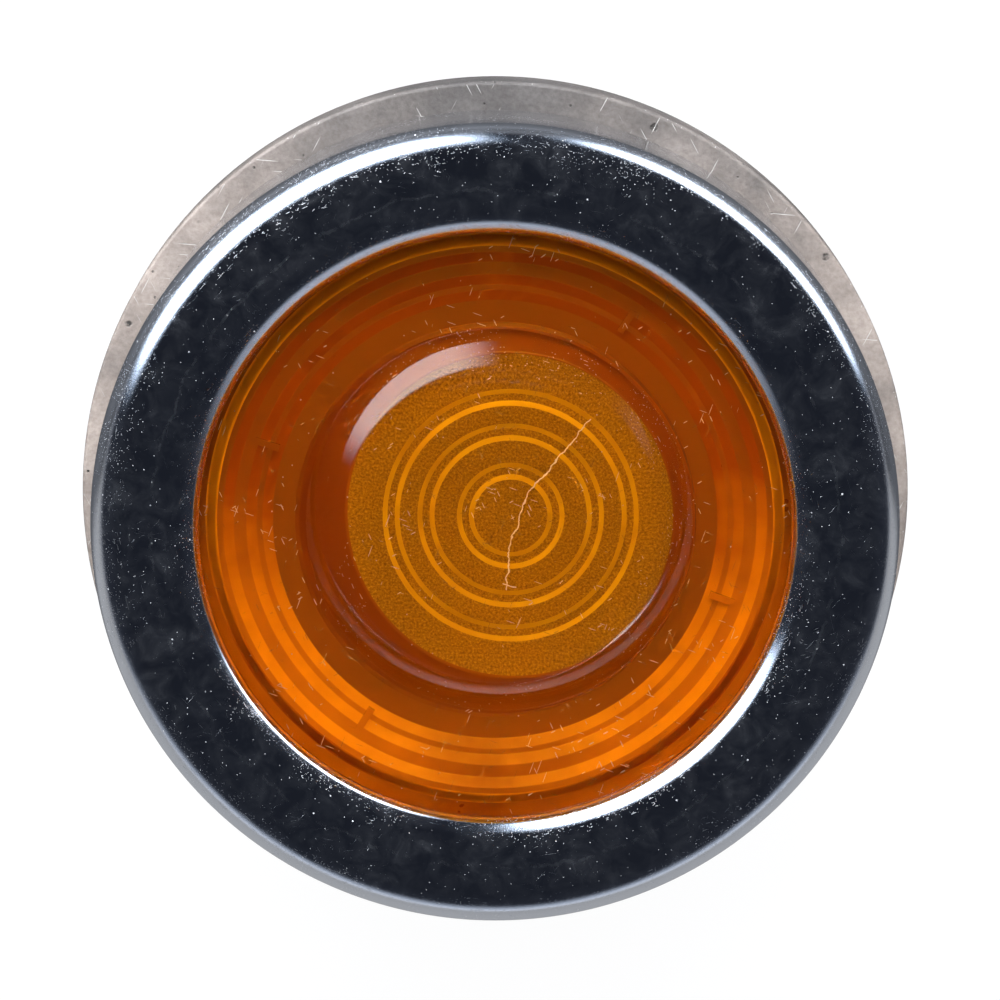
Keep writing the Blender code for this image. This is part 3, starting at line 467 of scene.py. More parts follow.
def rounded(corners, closed=True, arc_steps=8):
    """The outline through corners (r, z) or (r, z, fillet), with each fillet drawn as an arc."""
    outline = []
    for index, corner in enumerate(corners):
        here = Vector(corner[:2])
        fillet = corner[2] if len(corner) > 2 else 0.0
        at_end = not closed and index in (0, len(corners) - 1)
        if fillet == 0.0 or at_end:
            outline.append(here)
            continue
        before = (Vector(corners[index - 1][:2]) - here).normalized()
        after = (Vector(corners[(index + 1) % len(corners)][:2]) - here).normalized()
        half = before.angle(after) / 2
        centre = here + (before + after).normalized() * fillet / math.sin(half)
        reach = fillet / math.tan(half)
        start = (here + before * reach - centre).normalized()
        end = (here + after * reach - centre).normalized()
        for count in range(arc_steps + 1):
            outline.append(centre + start.slerp(end, count / arc_steps) * fillet)
    return outline


def from_bmesh(name, bm, sharp=35.0):
    bmesh.ops.recalc_face_normals(bm, faces=bm.faces)
    mesh = bpy.data.meshes.new(name)
    bm.to_mesh(mesh)
    bm.free()
    mesh.shade_smooth()
    mesh.set_sharp_from_angle(angle=math.radians(sharp))
    made = bpy.data.objects.new(name, mesh)
    bpy.context.scene.collection.objects.link(made)
    return made


def lathe(name, corners, closed=True, segments=SEGMENTS, arc_steps=8, radius_at=None, shift_at=None):
    """A turned piece.

    radius_at changes a point's radius by its height and angle, and shift_at moves it sideways.
    """
    outline = rounded(corners, closed, arc_steps)
    bm = bmesh.new()
    rows = []
    for point in outline:
        shift, slip = shift_at(point.x, point.y) if shift_at else (0.0, 0.0)
        if point.x < 1e-7:
            rows.append([bm.verts.new((shift, slip, point.y))])
            continue
        row = []
        for i in range(segments):
            angle = math.tau * i / segments
            r = radius_at(point.x, point.y, angle) if radius_at else point.x
            row.append(bm.verts.new((shift + r * math.cos(angle), slip + r * math.sin(angle), point.y)))
        rows.append(row)
    pairs = list(zip(rows, rows[1:]))
    if closed:
        pairs.append((rows[-1], rows[0]))
    for a, b in pairs:
        for i in range(segments):
            j = (i + 1) % segments
            corner = []
            for vert in (a[i % len(a)], a[j % len(a)], b[j % len(b)], b[i % len(b)]):
                if vert not in corner:
                    corner.append(vert)
            if len(corner) > 2:
                bm.faces.new(corner)
    return from_bmesh(name, bm)


def add_rod(bm, radius, start, end, sides=32):
    """Adds a straight round rod from one point to another."""
    along = Vector(end) - Vector(start)
    middle = (Vector(end) + Vector(start)) / 2
    spin = Vector((0, 0, 1)).rotation_difference(along).to_matrix().to_4x4()
    place = Matrix.Translation(middle) @ spin
    ends = {"radius1": radius, "radius2": radius, "depth": along.length}
    bmesh.ops.create_cone(bm, cap_ends=True, segments=sides, matrix=place, **ends)


def add_box(bm, lowest, highest, turn=0.0):
    """Adds a box between two corners, turned about the lamp's axis by some degrees."""
    size = [h - l for l, h in zip(lowest, highest)]
    middle = [(h + l) / 2 for l, h in zip(lowest, highest)]
    spin = Matrix.Rotation(math.radians(turn), 4, "Z")
    place = spin @ Matrix.Translation(middle)
    bmesh.ops.create_cube(bm, size=1.0, matrix=place @ Matrix.Diagonal((*size, 1.0)))


def combine(piece, other, operation, sharp=35.0):
    """Applies a Boolean with another object, which is then removed."""
    modifier = piece.modifiers.new("combine", "BOOLEAN")
    modifier.operation = operation
    modifier.solver = "EXACT"
    modifier.object = other
    graph = bpy.context.evaluated_depsgraph_get()
    mesh = bpy.data.meshes.new_from_object(piece.evaluated_get(graph))
    piece.modifiers.clear()
    piece.data = mesh
    mesh.shade_smooth()
    mesh.set_sharp_from_angle(angle=math.radians(sharp))
    bpy.data.objects.remove(other)


def on_circle(radius, degrees, z):
    angle = math.radians(degrees)
    return Vector((radius * math.cos(angle), radius * math.sin(angle), z))


def install(piece, material, body, slot, *nodes):
    """Gives a piece its finish, puts it on its body and lets it stand for its CAD nodes."""
    if material is not None:
        piece.data.materials.clear()
        piece.data.materials.append(material)
    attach(piece, body)
    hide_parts(*nodes)
    return piece


def keep(name, material):
    """Gives a carried-over CAD node its finish."""
    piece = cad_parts[name]
    if not piece.material_slots:
        piece.data.materials.append(None)
    for place in piece.material_slots:
        place.link = "OBJECT"
        place.material = material


# ---------------------------------------------------------------------- housing

STACK_GAP = 0.3 * MM
SEAT_Z = high("flange_gasket").z + STACK_GAP
FLANGE_TOP = SEAT_Z + 6.0 * MM
RIM_Z = high("housing").z
FLANGE_RADIUS = high("housing").x
DRUM_RADIUS = 33.0 * MM
DRUM_BORE = 29.5 * MM
LEDGE_Z = RIM_Z - 6.0 * MM
LEDGE_BORE = 24.6 * MM
CAN_RADIUS = 24.0 * MM
CAN_BORE = 21.5 * MM
FLOOR_Z = 13.0 * MM
FLOOR_TOP = 16.0 * MM
GLAND_HOLE = 6.0 * MM
SCREW_CIRCLE = 26.8 * MM
SCREW_ANGLES = (90.0, 210.0, 330.0)
SCREW_HOLE = 1.8 * MM
TAPPED_HOLE = 1.7 * MM
RIVET_CIRCLE = 8.0 * MM
RIVET_HOLE = 1.2 * MM
THREAD_PITCH = 2.0 * MM
THREAD_DEPTH = 1.0 * MM
THREAD_LOW = 1.4 * MM
THREAD_HIGH = SEAT_Z - 1.2 * MM
THREAD_FADE = 1.5 * MM
SAME = 0.01 * MM


def thread_radius(radius, z, angle):
    """Cuts a helical thread into the can's outer wall, fading out at both ends."""
    if abs(radius - CAN_RADIUS) > SAME or not THREAD_LOW < z < THREAD_HIGH:
        return radius
    turn = (z / THREAD_PITCH - angle / math.tau) % 1.0
    flank = abs(turn - 0.5) * 2
    depth = min(1.0, max(0.0, (0.85 - flank) / 0.6))
    ends = min(z - THREAD_LOW, THREAD_HIGH - z)
    return radius - THREAD_DEPTH * depth * min(1.0, ends / THREAD_FADE)


def make_housing():
    rows = 190
    span = SEAT_Z - 1.2 * MM
    wall = [(CAN_RADIUS, SEAT_Z - 0.4 * MM - span * i / rows) for i in range(rows + 1)]
    corners = [
        (DRUM_RADIUS, RIM_Z, 0.5 * MM),
        (DRUM_RADIUS, FLANGE_TOP, 1.0 * MM),
        (FLANGE_RADIUS, FLANGE_TOP, 0.4 * MM),
        (FLANGE_RADIUS, SEAT_Z, 0.5 * MM),
        (CAN_RADIUS, SEAT_Z, 0.3 * MM),
        *wall,
        (CAN_RADIUS, 0.0, 0.6 * MM),
        (CAN_BORE, 0.0, 0.4 * MM),
        (CAN_BORE, FLOOR_Z, 1.0 * MM),
        (GLAND_HOLE, FLOOR_Z),
        (GLAND_HOLE, FLOOR_TOP),
        (CAN_BORE, FLOOR_TOP, 1.0 * MM),
        (CAN_BORE, SEAT_Z + 2.0 * MM, 0.5 * MM),
        (LEDGE_BORE, SEAT_Z + 4.0 * MM, 0.5 * MM),
        (LEDGE_BORE, LEDGE_Z, 0.3 * MM),
        (DRUM_BORE, LEDGE_Z, 0.3 * MM),
        (DRUM_BORE, RIM_Z, 0.3 * MM),
    ]
    piece = lathe("cast_housing", corners, arc_steps=5, radius_at=thread_radius)
    holes = bmesh.new()
    for angle in SCREW_ANGLES:
        bottom = on_circle(SCREW_CIRCLE, angle, LEDGE_Z - 6.5 * MM)
        add_rod(holes, TAPPED_HOLE, bottom, on_circle(SCREW_CIRCLE, angle, LEDGE_Z + MM))
    combine(piece, from_bmesh("holes", holes), "DIFFERENCE")
    install(piece, CAST, "housing", "cast", "housing")


def plain_ring(name, cad_node, bore, outer_fillet, bore_fillet, **settings):
    """A ring with a rectangular section, between its CAD node's heights and out to its radius."""
    lowest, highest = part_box(cad_node)
    corners = [
        (highest.x, highest.z, outer_fillet),
        (highest.x, lowest.z, outer_fillet),
        (bore, lowest.z, bore_fillet),
        (bore, highest.z, bore_fillet),
    ]
    return lathe(name, corners, **settings)


def make_gaskets():
    piece = plain_ring("seating_gasket", "flange_gasket", CAN_RADIUS + 0.4 * MM, 0.35 * MM, 0.2 * MM)
    install(piece, RUBBER, "housing", "rubber", "flange_gasket")
    piece = plain_ring("lens_seal", "lens_gasket", DRUM_BORE + 0.4 * MM, 0.4 * MM, 0.4 * MM)
    install(piece, RUBBER, "housing", "rubber", "lens_gasket")


# --------------------------------------------------------------- bezel and lens

BEZEL_RADIUS = high("bezel_ring").x
CROWN_Z = high("bezel_ring").z
SKIRT_Z = low("bezel_ring").z
OPENING = 25.6 * MM
LENS_TOP = 68.2 * MM
LENS_LOW = high("lens_gasket").z + STACK_GAP
DOME_TOP = high("lens").z
DOME_BASE = 17.3 * MM
ANNULUS_Z = 67.5 * MM
LENS_RADIUS = high("lens").x


def make_bezel():
    wall = 1.7 * MM
    ceiling = 69.6 * MM
    corners = [
        (OPENING, CROWN_Z - 1.72 * MM, 1.6 * MM),
        (OPENING + 1.98 * MM, CROWN_Z, 3.7 * MM),
        (BEZEL_RADIUS - 2.0 * MM, CROWN_Z, 5.2 * MM),
        (BEZEL_RADIUS, CROWN_Z - 2.5 * MM, 1.5 * MM),
        (BEZEL_RADIUS, SKIRT_Z, 0.4 * MM),
        (BEZEL_RADIUS - wall, SKIRT_Z, 0.2 * MM),
        (BEZEL_RADIUS - wall, ceiling),
        (OPENING, ceiling, 0.2 * MM),
    ]
    piece = lathe("chrome_bezel", corners, segments=256, arc_steps=12)
    install(piece, CHROME, "bezel", "chrome", "bezel_ring")


def make_slip_ring():
    piece = plain_ring("slip_washer", "slip_ring", OPENING + 0.8 * MM, 0.2 * MM, 0.2 * MM, arc_steps=3)
    install(piece, NYLON, "slip_ring", "nylon", "slip_ring")


STEP_RADII = (19.8 * MM, 21.2 * MM, 23.2 * MM, 24.7 * MM)
RIDGE_RADII = (3.9 * MM, 7.3 * MM, 10.3 * MM)
RECESS_Z = DOME_TOP - 2.8 * MM
RECESS_RADIUS = DOME_BASE - 3.3 * MM
CORE_X = 1.35 * MM
CORE_Y = 0.95 * MM
DOME_SHARE = 0.27


def moulding_shift(radius, z):
    """The mould's core sits a little off the lens's centre, and the dome over it follows in part."""
    hollow = z < RECESS_Z + SAME and radius < RECESS_RADIUS + 1.4 * MM
    if not hollow and z > ANNULUS_Z + SAME and radius < DOME_BASE:
        share = DOME_SHARE
    elif not hollow and (z >= ANNULUS_Z - SAME or radius > DOME_BASE + SAME):
        share = 0.0
    else:
        share = min(1.0, (DOME_BASE + 0.5 * MM - radius) / (3.0 * MM))
    return share * CORE_X, share * CORE_Y


def lens_underside():
    """The underside's outline, from the rim over the ring steps to the recess and its three ridges."""
    rise = 0.45 * MM
    web = LENS_LOW + 0.1 * MM
    soft = 0.35 * MM
    lean = 0.45 * MM
    foot = 0.72 * MM
    flat = 0.32 * MM
    edge = 0.12 * MM
    corners = [
        (LENS_RADIUS, LENS_LOW, 0.3 * MM),
        (STEP_RADII[3] + 0.4 * MM, LENS_LOW, soft),
        (STEP_RADII[3] - 0.4 * MM, web + 3 * rise, soft),
    ]
    for count, radius in zip((2, 1, 0), reversed(STEP_RADII[:3])):
        corners.append((radius + lean, web + (count + 1) * rise, soft))
        corners.append((radius - lean, web + count * rise, soft))
    corners.append((DOME_BASE, web, 0.4 * MM))
    corners.append((RECESS_RADIUS, RECESS_Z, 0.4 * MM))
    crest = RECESS_Z - 0.38 * MM
    for radius in reversed(RIDGE_RADII):
        for away, z in ((foot, RECESS_Z), (flat, crest), (-flat, crest), (-foot, RECESS_Z)):
            corners.append((radius + away, z, edge))
    corners.append((0.0, RECESS_Z))
    return corners


CLEAR, STIPPLED, DEEP, OUTER, WALL, RIDGE, RIM = range(7)
UNDER_FINISHES = (AMBER_STIPPLED, AMBER_DEEP, AMBER_OUTER, AMBER_WALL, AMBER_RIDGE, AMBER_RIM)
NOTCH_ANGLES = (57.0, 161.0, 237.0, 341.0)


def lens_finish(face):
    """The finish of one face of the lens, by where it is and which way it points; the upright walls, the
    ridges and the rim get the paler finishes that carry the painted glow.
    """
    centre = face.center
    from_core = math.hypot(centre.x - CORE_X, centre.y - CORE_Y)
    from_axis = math.hypot(centre.x, centre.y)
    upright = face.normal.z > -0.97
    if face.normal.z > -0.02 or centre.z > LENS_TOP + 0.35 * MM:
        return CLEAR
    if from_core < RECESS_RADIUS - 0.4 * MM:
        return RIDGE if face.normal.z > -0.95 else STIPPLED
    if from_axis < STEP_RADII[0] - 0.45 * MM:
        return DEEP
    if from_axis > STEP_RADII[3] - 0.6 * MM:
        return RIM if upright else OUTER
    return WALL if upright else OUTER


def make_lens():
    edge = OPENING + 0.4 * MM
    corners = [
        (0.0, DOME_TOP),
        (DOME_BASE - 4.0 * MM, DOME_TOP - 0.5 * MM, 3.0 * MM),
        (DOME_BASE - 0.4 * MM, ANNULUS_Z, 0.5 * MM),
        (edge, ANNULUS_Z, 0.2 * MM),
        (edge + 0.5 * MM, LENS_TOP, 0.2 * MM),
        (LENS_RADIUS, LENS_TOP, 0.3 * MM),
        *lens_underside(),
    ]
    piece = lathe("amber_lens", corners, closed=False, segments=256, arc_steps=10, shift_at=moulding_shift)
    cuts = bmesh.new()
    for angle in NOTCH_ANGLES:
        lowest = (19.8 * MM, -0.3 * MM, LENS_LOW - MM)
        highest = (22.0 * MM, 0.3 * MM, LENS_LOW + 1.3 * MM)
        add_box(cuts, lowest, highest, angle)
    combine(piece, from_bmesh("notches", cuts), "DIFFERENCE", 30.0)
    install(piece, AMBER_CLEAR, "lens", "amber", "lens")
    for finish in UNDER_FINISHES:
        piece.data.materials.append(finish)
    for face in piece.data.polygons:
        face.material_index = lens_finish(face)


# ------------------------------------------------- reflector, holder and screws


SHEET = 0.8 * MM


def cut_circle(piece, radius, circle, lowest, highest):
    """Cuts a round hole at each of the screws' angles."""
    holes = bmesh.new()
    for angle in SCREW_ANGLES:
        add_rod(holes, radius, on_circle(circle, angle, lowest), on_circle(circle, angle, highest))
    combine(piece, from_bmesh("holes", holes), "DIFFERENCE")


def make_reflector():
    highest = high("reflector")
    hole = 6.5 * MM
    dish = 22.4 * MM
    low_z = 49.6 * MM
    rim = highest.x
    focus = (dish**2 - hole**2) / (4 * (highest.z - low_z))
    radii = [hole + (dish - hole) * i / 24 for i in range(25)]
    inner = [(r, low_z + (r**2 - hole**2) / (4 * focus)) for r in radii]
    outer = [(r + 0.4 * MM, z - SHEET) for r, z in reversed(inner)]
    brim = [(rim, highest.z, 0.2 * MM), (rim, highest.z - SHEET, 0.2 * MM)]
    piece = lathe("spun_reflector", [*brim, *outer, *inner])
    cut_circle(piece, SCREW_HOLE, SCREW_CIRCLE, highest.z - 3.0 * MM, highest.z + 3.0 * MM)
    install(piece, REFLECTOR, "housing", "reflector", "reflector")


def make_holder_plate():
    lowest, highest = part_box("lampholder_plate")
    rim = highest.x
    wall = 24.3 * MM
    foot = 52.0 * MM
    hub = 10.5 * MM
    hole = 5.8 * MM
    corners = [
        (rim, highest.z, 0.2 * MM),
        (rim, highest.z - SHEET, 0.2 * MM),
        (wall, highest.z - SHEET, 0.3 * MM),
        (wall, foot, 1.2 * MM),
        (hub, lowest.z, 0.8 * MM),
        (hole, lowest.z),
        (hole, lowest.z + SHEET),
        (hub - 0.3 * MM, lowest.z + SHEET, 0.5 * MM),
        (wall - SHEET, foot + 0.4 * MM, 1.0 * MM),
        (wall - SHEET, highest.z, 0.5 * MM),
    ]
    piece = lathe("pressed_holder_plate", corners)
    cut_circle(piece, SCREW_HOLE, SCREW_CIRCLE, highest.z - 3.0 * MM, highest.z + 3.0 * MM)
    cut_circle(piece, RIVET_HOLE, RIVET_CIRCLE, lowest.z - 2.0 * MM, lowest.z + 2.0 * MM)
    install(piece, STEEL, "housing", "steel", "lampholder_plate")


def make_plate_screws():
    for number, angle in enumerate(SCREW_ANGLES, 1):
        name = f"plate_screw_{number}"
        lowest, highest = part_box(name)
        head = highest.z - 1.8 * MM
        corners = [
            (0.0, highest.z),
            (2.6 * MM, highest.z - 0.15 * MM, 0.9 * MM),
            (2.6 * MM, head, 0.15 * MM),
            (1.4 * MM, head),
            (1.4 * MM, lowest.z + 0.4 * MM),
            (1.0 * MM, lowest.z),
            (0.0, lowest.z),
        ]
        piece = lathe(f"pan_head_screw_{number}", corners, closed=False, segments=48, arc_steps=5)
        piece.data.transform(Matrix.Translation(on_circle(SCREW_CIRCLE, angle, 0.0)))
        slot = bmesh.new()
        reach = 3.0 * MM
        add_box(
            slot,
            (SCREW_CIRCLE - reach, -0.35 * MM, highest.z - 0.8 * MM),
            (SCREW_CIRCLE + reach, 0.35 * MM, highest.z + MM),
            angle,
        )
        combine(piece, from_bmesh("slot", slot), "DIFFERENCE")
        install(piece, STEEL, "housing", "steel", name)


def make_rivets():
    for number, angle in enumerate(SCREW_ANGLES, 1):
        name = f"socket_rivet_{number}"
        lowest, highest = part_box(name)
        head = 0.6 * MM
        corners = [
            (0.0, highest.z),
            (1.6 * MM, highest.z, 0.5 * MM),
            (1.6 * MM, highest.z - head),
            (0.9 * MM, highest.z - head),
            (0.9 * MM, lowest.z + head),
            (1.6 * MM, lowest.z + head),
            (1.6 * MM, lowest.z, 0.5 * MM),
            (0.0, lowest.z),
        ]
        piece = lathe(f"hollow_rivet_{number}", corners, closed=False, segments=32, arc_steps=4)
        piece.data.transform(Matrix.Translation(on_circle(RIVET_CIRCLE, angle, 0.0)))
        install(piece, BRASS, "housing", "brass", name)


PIN_Z = 40.0 * MM
PIN_RADIUS = 0.85 * MM
BAYONET_TURN = 25.0


def make_socket():
    lowest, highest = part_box("socket_shell")
    bore = 4.85 * MM
    wall = 5.5 * MM
    flange = highest.x
    corners = [
        (bore, highest.z, 0.3 * MM),
        (flange, highest.z, 0.2 * MM),
        (flange, highest.z - SHEET, 0.2 * MM),
        (wall, highest.z - SHEET, 0.2 * MM),
        (wall, lowest.z),
        (bore, lowest.z),
    ]
    piece = lathe("bayonet_shell", corners, segments=96, arc_steps=4)
    half = 1.25 * MM
    inner = 2.9 * MM
    tip = on_circle(5.45 * MM, BAYONET_TURN, 0.0)
    window = ((inner, -half, PIN_Z - 2.75 * MM), (6.4 * MM, tip.y + half, PIN_Z + half))
    slot = ((inner, -half, PIN_Z + PIN_RADIUS), (5.85 * MM, half, highest.z + MM))
    windows = bmesh.new()
    slots = bmesh.new()
    for side in (0.0, 180.0):
        add_box(windows, *window, side)
        add_box(slots, *slot, side + BAYONET_TURN)
    combine(piece, from_bmesh("windows", windows), "DIFFERENCE")
    combine(piece, from_bmesh("slots", slots), "DIFFERENCE")
    cut_circle(piece, RIVET_HOLE, RIVET_CIRCLE, highest.z - 2.0 * MM, highest.z + 2.0 * MM)
    install(piece, BRASS, "housing", "brass", "socket_shell")


# ------------------------------------------------------------------------- bulb


def make_bulb():
    lowest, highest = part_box("bulb_cap")
    radius = high("bulb_cap").y
    wall = 0.4 * MM
    low_z = lowest.z + 0.4 * MM
    corners = [
        (radius, highest.z, 0.15 * MM),
        (radius, low_z, 0.3 * MM),
        (3.2 * MM, lowest.z, 0.2 * MM),
        (3.2 * MM, low_z),
        (radius - wall, low_z + wall),
        (radius - wall, highest.z, 0.15 * MM),
    ]
    cap = lathe("bayonet_cap", corners, segments=96, arc_steps=4)
    pins = bmesh.new()
    for side in (1, -1):
        root = (side * (radius - wall / 2), 0, PIN_Z)
        add_rod(pins, PIN_RADIUS, root, (side * highest.x, 0, PIN_Z), 24)
    combine(cap, from_bmesh("pins", pins), "UNION")
    install(cap, BRASS, "bulb", "brass", "bulb_cap")

    lowest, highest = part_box("bulb_glass")
    wall = 0.5 * MM
    neck = 3.8 * MM
    swell = 45.5 * MM
    radius = 4.4 * MM
    bore = radius - wall
    dome = highest.z - radius
    arc = [math.radians(90 - 5 * i) for i in range(19)]
    outer = [(radius * math.cos(a), dome + radius * math.sin(a)) for a in arc]
    inner = [(bore * math.cos(a), dome + bore * math.sin(a)) for a in reversed(arc)]
    outer[0] = (0.0, highest.z)
    inner[-1] = (0.0, highest.z - wall)
    corners = [
        *outer,
        (radius, swell, 1.5 * MM),
        (neck, swell - 1.2 * MM, 1.0 * MM),
        (neck, lowest.z),
        (neck - wall, lowest.z),
        (neck - wall, swell - 1.2 * MM, 1.0 * MM),
        (bore, swell, 1.5 * MM),
        *inner,
    ]
    glass = lathe("bulb_envelope", corners, closed=False, segments=96, arc_steps=5)
    install(glass, GLASS, "bulb", "glass", "bulb_glass")

    lowest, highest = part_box("bulb_stem")
    corners = [
        (0.0, highest.z),
        (1.9 * MM, highest.z, 0.7 * MM),
        (2.4 * MM, lowest.z + MM, 1.0 * MM),
        (2.9 * MM, lowest.z),
        (0.0, lowest.z),
    ]
    stem = lathe("glass_stem", corners, closed=False, segments=48)
    install(stem, GLASS, "bulb", "glass", "bulb_stem")

    lowest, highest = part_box("bulb_contact")
    corners = [(0.0, highest.z), (1.5 * MM, highest.z), (1.5 * MM, lowest.z, 0.7 * MM), (0.0, lowest.z)]
    tip = lathe("solder_contact", corners, closed=False, segments=48, arc_steps=6)
    install(tip, SOLDER, "bulb", "solder", "bulb_contact")


# ------------------------------------------------------------ ring nut and gland


def make_ring_nut():
    lowest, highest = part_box("ring_nut")
    outer = 31.0 * MM
    bore = CAN_RADIUS + 0.3 * MM
    corners = [
        (outer, highest.z, 0.7 * MM),
        (outer, lowest.z, 0.7 * MM),
        (bore + 0.8 * MM, lowest.z, 0.1 * MM),
        (bore, lowest.z + 0.8 * MM, 0.1 * MM),
        (bore, highest.z - 0.8 * MM, 0.1 * MM),
        (bore + 0.8 * MM, highest.z, 0.1 * MM),
    ]
    nut = lathe("clamp_ring_nut", corners, arc_steps=5)
    grips = bmesh.new()
    for i in range(8):
        foot = on_circle(outer + 1.2 * MM, 45.0 * (i + 0.5), lowest.z - MM)
        add_rod(grips, 3.2 * MM, foot, foot + Vector((0, 0, highest.z - lowest.z + 2 * MM)), 40)
    combine(nut, from_bmesh("grips", grips), "DIFFERENCE")
    soften(nut, 0.35 * MM)
    install(nut, CAST, "ring_nut", "cast", "ring_nut")

    bore = CAN_RADIUS + 0.5 * MM
    washer = plain_ring("plain_washer", "nut_washer", bore, 0.3 * MM, 0.2 * MM, arc_steps=4)
    install(washer, STEEL, "nut_washer", "steel", "nut_washer")


def soften(piece, width):
    """Rounds a piece's sharp edges."""
    bevel = piece.modifiers.new("soften", "BEVEL")
    bevel.width = width
    bevel.segments = 3
    bevel.limit_method = "ANGLE"
    bevel.angle_limit = math.radians(50)


def hexagon(name, across_flats, lowest, highest, chamfer):
    """A hexagon with both rims chamfered as a turned nut's are."""
    corner = across_flats / math.sqrt(3)
    bm = bmesh.new()
    add_rod(bm, corner, (0, 0, lowest), (0, 0, highest), 6)
    piece = from_bmesh(name, bm, 20.0)
    corners = [
        (0.0, highest),
        (across_flats / 2 - 0.1 * MM, highest),
        (corner + 0.3 * MM, highest - chamfer),
        (corner + 0.3 * MM, lowest + chamfer),
        (across_flats / 2 - 0.1 * MM, lowest),
        (0.0, lowest),
    ]
    cone = lathe("chamfer", corners, closed=False, segments=96)
    combine(piece, cone, "INTERSECT", 20.0)
    return piece


def bore_out(piece, radius, lowest, highest):
    """Cuts a round hole along the lamp's axis."""
    rod = bmesh.new()
    add_rod(rod, radius, (0, 0, lowest), (0, 0, highest), 64)
    combine(piece, from_bmesh("bore", rod), "DIFFERENCE", 30.0)


GLAND_HEX = 15.0 * MM
GLAND_THREAD = 5.7 * MM
GLAND_BORE = 3.2 * MM


def gland_thread(radius, z, angle):
    """The gland's fine thread, all along its tube."""
    if abs(radius - GLAND_THREAD) > SAME:
        return radius
    pitch = 1.0 * MM
    turn = (z / pitch - angle / math.tau) % 1.0
    return radius - 0.45 * MM * min(1.0, max(0.0, 1.1 - abs(turn - 0.5) * 4))


def make_gland():
    lowest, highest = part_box("gland_nut")
    nut = hexagon("compression_nut", GLAND_HEX, lowest.z, highest.z, 0.9 * MM)
    bore_out(nut, GLAND_HOLE, lowest.z + 1.6 * MM, highest.z + MM)
    bore_out(nut, GLAND_BORE + 0.3 * MM, lowest.z - MM, lowest.z + 3.0 * MM)
    install(nut, BRASS, "housing", "brass", "gland_nut")

    lowest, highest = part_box("gland_body")
    pocket = 4.9 * MM
    shoulder = 9.5 * MM
    rows = 110
    span = highest.z - lowest.z - 0.8 * MM
    wall = [(GLAND_THREAD, highest.z - 0.4 * MM - span * i / rows) for i in range(rows + 1)]
    corners = [
        (GLAND_THREAD - 0.4 * MM, highest.z),
        *wall,
        (GLAND_THREAD - 0.4 * MM, lowest.z),
        (pocket, lowest.z),
        (pocket, shoulder),
        (GLAND_BORE, shoulder),
        (GLAND_BORE, highest.z),
    ]
    body = lathe("gland_tube", corners, segments=96, radius_at=gland_thread)
    collar = hexagon("gland_collar", GLAND_HEX, 9.0 * MM, FLOOR_Z - 1.3 * MM, 0.6 * MM)
    bore_out(collar, GLAND_THREAD - 0.3 * MM, 8.0 * MM, FLOOR_Z)
    install(body, BRASS, "housing", "brass", "gland_body")
    install(collar, BRASS, "housing", "brass")

    lowest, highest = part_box("gland_seal")
    outer = highest.x
    corners = [
        (outer, highest.z),
        (outer, lowest.z + 0.9 * MM),
        (outer - 0.5 * MM, lowest.z, 0.2 * MM),
        (GLAND_BORE, lowest.z, 0.3 * MM),
        (GLAND_BORE, highest.z),
    ]
    seal = lathe("gland_bush", corners, segments=96, arc_steps=4)
    install(seal, RUBBER, "housing", "rubber", "gland_seal")

    washer = plain_ring(
        "gland_sealing_washer", "gland_washer", GLAND_HOLE, 0.2 * MM, 0.0, segments=96, arc_steps=3
    )
    install(washer, RUBBER, "housing", "rubber", "gland_washer")


# ------------------------------------------------------------------------ stage


FLOOR_RADIUS = 4.0


def make_floor():
    """A floor that looks white but lights the lamp only a little, and only from in front."""
    bm = bmesh.new()
    bmesh.ops.create_circle(bm, cap_ends=True, segments=96, radius=FLOOR_RADIUS)
    piece = from_bmesh("studio_floor", bm)
    piece.location.z = -0.1 * MM
    made, tree, shader = new_material("pale_floor")
    tone = noise(tree, 60.0, 2.0)
    colour = mix(tree, tone, (0.04, 0.04, 0.042), (0.05, 0.05, 0.052))
    seen = node(tree, "LightPath").outputs["Is Camera Ray"]
    ahead = node(tree, "SeparateXYZ", {0: millimetres(tree)}).outputs["Y"]
    bounce = times(tree, step(tree, ahead, -70.0, 60.0), 0.30)
    glow = larger(tree, times(tree, seen, 0.95), bounce)
    connect(tree, shader, Base_Color=colour, Roughness=0.9, Emission_Strength=glow)
    shader.inputs["Emission Color"].default_value = (1.0, 1.0, 1.0, 1.0)
    piece.data.materials.append(made)


def make_world():
    """A dark room with a pale horizon, which is brighter in front of the lamp."""
    world = bpy.data.worlds.new("studio")
    bpy.context.scene.world = world
    world.use_nodes = True
    tree = world.node_tree
    coords = node(tree, "TexCoord").outputs["Generated"]
    aim = node(tree, "SeparateXYZ", {0: coords})
    rise = aim.outputs["Z"]
    room = [
        (0.0, (0.34, 0.35, 0.38)),
        (0.03, (0.16, 0.17, 0.19)),
        (0.10, (0.022, 0.025, 0.034)),
        (0.60, (0.012, 0.014, 0.020)),
    ]
    colour = ramp(tree, rise, room)
    band = ramp(tree, rise, [(0.0, (0.42, 0.45, 0.51)), (0.10, (0.34, 0.38, 0.45)), (0.24, (0.0, 0.0, 0.0))])
    front = step(tree, aim.outputs["Y"], -0.85, 0.5)
    colour = mix(tree, front, colour, band, "ADD")
    tree.links.new(colour, tree.nodes["Background"].inputs["Color"])


def fade_edge(tree, along, share):
    """Rises from 0 at both ends of 0 to 1 to full strength within a share of the length."""
    inside = math_node(tree, "MINIMUM", along, math_node(tree, "SUBTRACT", 1.0, along))
    return math_node(tree, "SUBTRACT", 1.0, step(tree, inside, 0.0, share))


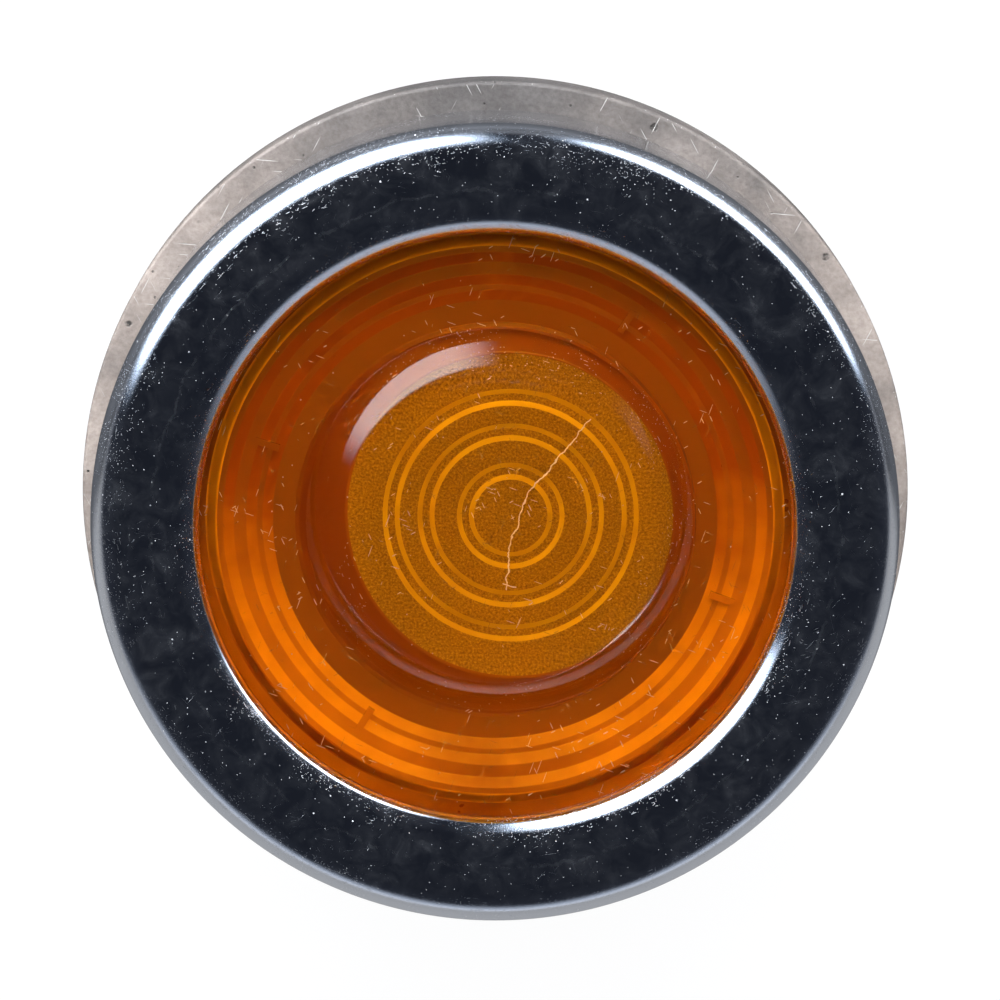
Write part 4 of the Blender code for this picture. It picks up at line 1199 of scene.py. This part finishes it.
def make_softbox(name, azimuth, elevation, width, height, radiance, shines=True):
    """A rectangular lamp one metre from the object, facing it, that fades and cools at its edges.

    One that doesn't shine lights the surfaces without being mirrored in them.
    """
    data = bpy.data.lights.new(name, "AREA")
    data.shape = "RECTANGLE"
    data.size = width
    data.size_y = height
    data.energy = radiance * math.pi * width * height
    data.use_nodes = True
    tree = data.node_tree
    place = node(tree, "NewGeometry").outputs["Parametric"]
    sides = node(tree, "SeparateXYZ", {0: place})
    across = fade_edge(tree, sides.outputs["X"], 0.3)
    upward = fade_edge(tree, sides.outputs["Y"], 0.42)
    share = times(tree, across, upward)
    glow = tree.nodes["Emission"]
    tree.links.new(mix(tree, share, (0.62, 0.78, 1.0), (1.0, 1.0, 1.0)), glow.inputs["Color"])
    tree.links.new(share, glow.inputs["Strength"])
    made = bpy.data.objects.new(name, data)
    bpy.context.scene.collection.objects.link(made)
    a, e = math.radians(azimuth), math.radians(elevation)
    back = Vector((math.cos(a) * math.cos(e), math.sin(a) * math.cos(e), math.sin(e)))
    made.location = Vector((0, 0, CROWN_Z)) + back
    made.rotation_euler = (-back).to_track_quat("-Z", "Y").to_euler()
    made.visible_camera = False
    made.visible_glossy = shines


CAMERA_TILT = math.radians(9.5)
CAMERA_DISTANCE = 450.0 * MM
FRAME_WIDTH = 86.5 * MM
AIM_RIGHT = 0.43 * MM
AIM_UP = 2.28 * MM


def make_camera():
    """Looks down along the lamp's axis, from a little towards +Y."""
    data = bpy.data.cameras.new("camera")
    data.sensor_width = 36.0
    data.lens = data.sensor_width * CAMERA_DISTANCE / FRAME_WIDTH
    data.clip_start = 0.01
    made = bpy.data.objects.new("camera", data)
    bpy.context.scene.collection.objects.link(made)
    back = Vector((0, math.sin(CAMERA_TILT), math.cos(CAMERA_TILT)))
    up = Vector((0, math.cos(CAMERA_TILT), -math.sin(CAMERA_TILT)))
    aim = Vector((AIM_RIGHT, 0, CROWN_Z - 3.0 * MM)) + up * AIM_UP
    made.location = aim + back * CAMERA_DISTANCE
    made.rotation_euler = (-CAMERA_TILT, 0, 0)
    bpy.context.scene.camera = made


make_housing()
make_gaskets()
make_bezel()
make_slip_ring()
make_lens()
make_reflector()
make_holder_plate()
make_plate_screws()
make_rivets()
make_socket()
make_bulb()
make_ring_nut()
make_gland()

CARRIED_OVER = {
    BRASS: (
        "gland_locknut live_tag return_tag contact_button "
        "terminal_clamp_1 terminal_clamp_2 terminal_screw_1 terminal_screw_2"
    ),
    PHENOLIC: "socket_bottom contact_carrier bulb_insulator",
    STEEL: "contact_spring filament_support_1 filament_support_2 block_screw",
    TUNGSTEN: "filament",
    PLASTIC: "terminal_block",
    RED_WIRE: "live_lead",
    BLACK_WIRE: "return_lead",
}
for finish, names in CARRIED_OVER.items():
    for name in names.split():
        keep(name, finish)

make_floor()
make_world()
make_softbox("softbox_left", 129.0, 16.0, 1.6, 0.56, 8.0)
make_softbox("softbox_right", 46.0, 5.5, 1.35, 0.3, 7.0)
make_softbox("softbox_top", 90.0, 40.0, 1.2, 0.4, 42.0, shines=False)
make_softbox("softbox_over", 90.0, 74.0, 0.5, 0.3, 24.0, shines=False)
make_softbox("softbox_front", 270.0, 62.0, 1.0, 0.5, 7.0, shines=False)
make_camera()
bpy.context.scene.view_settings.view_transform = "Standard"
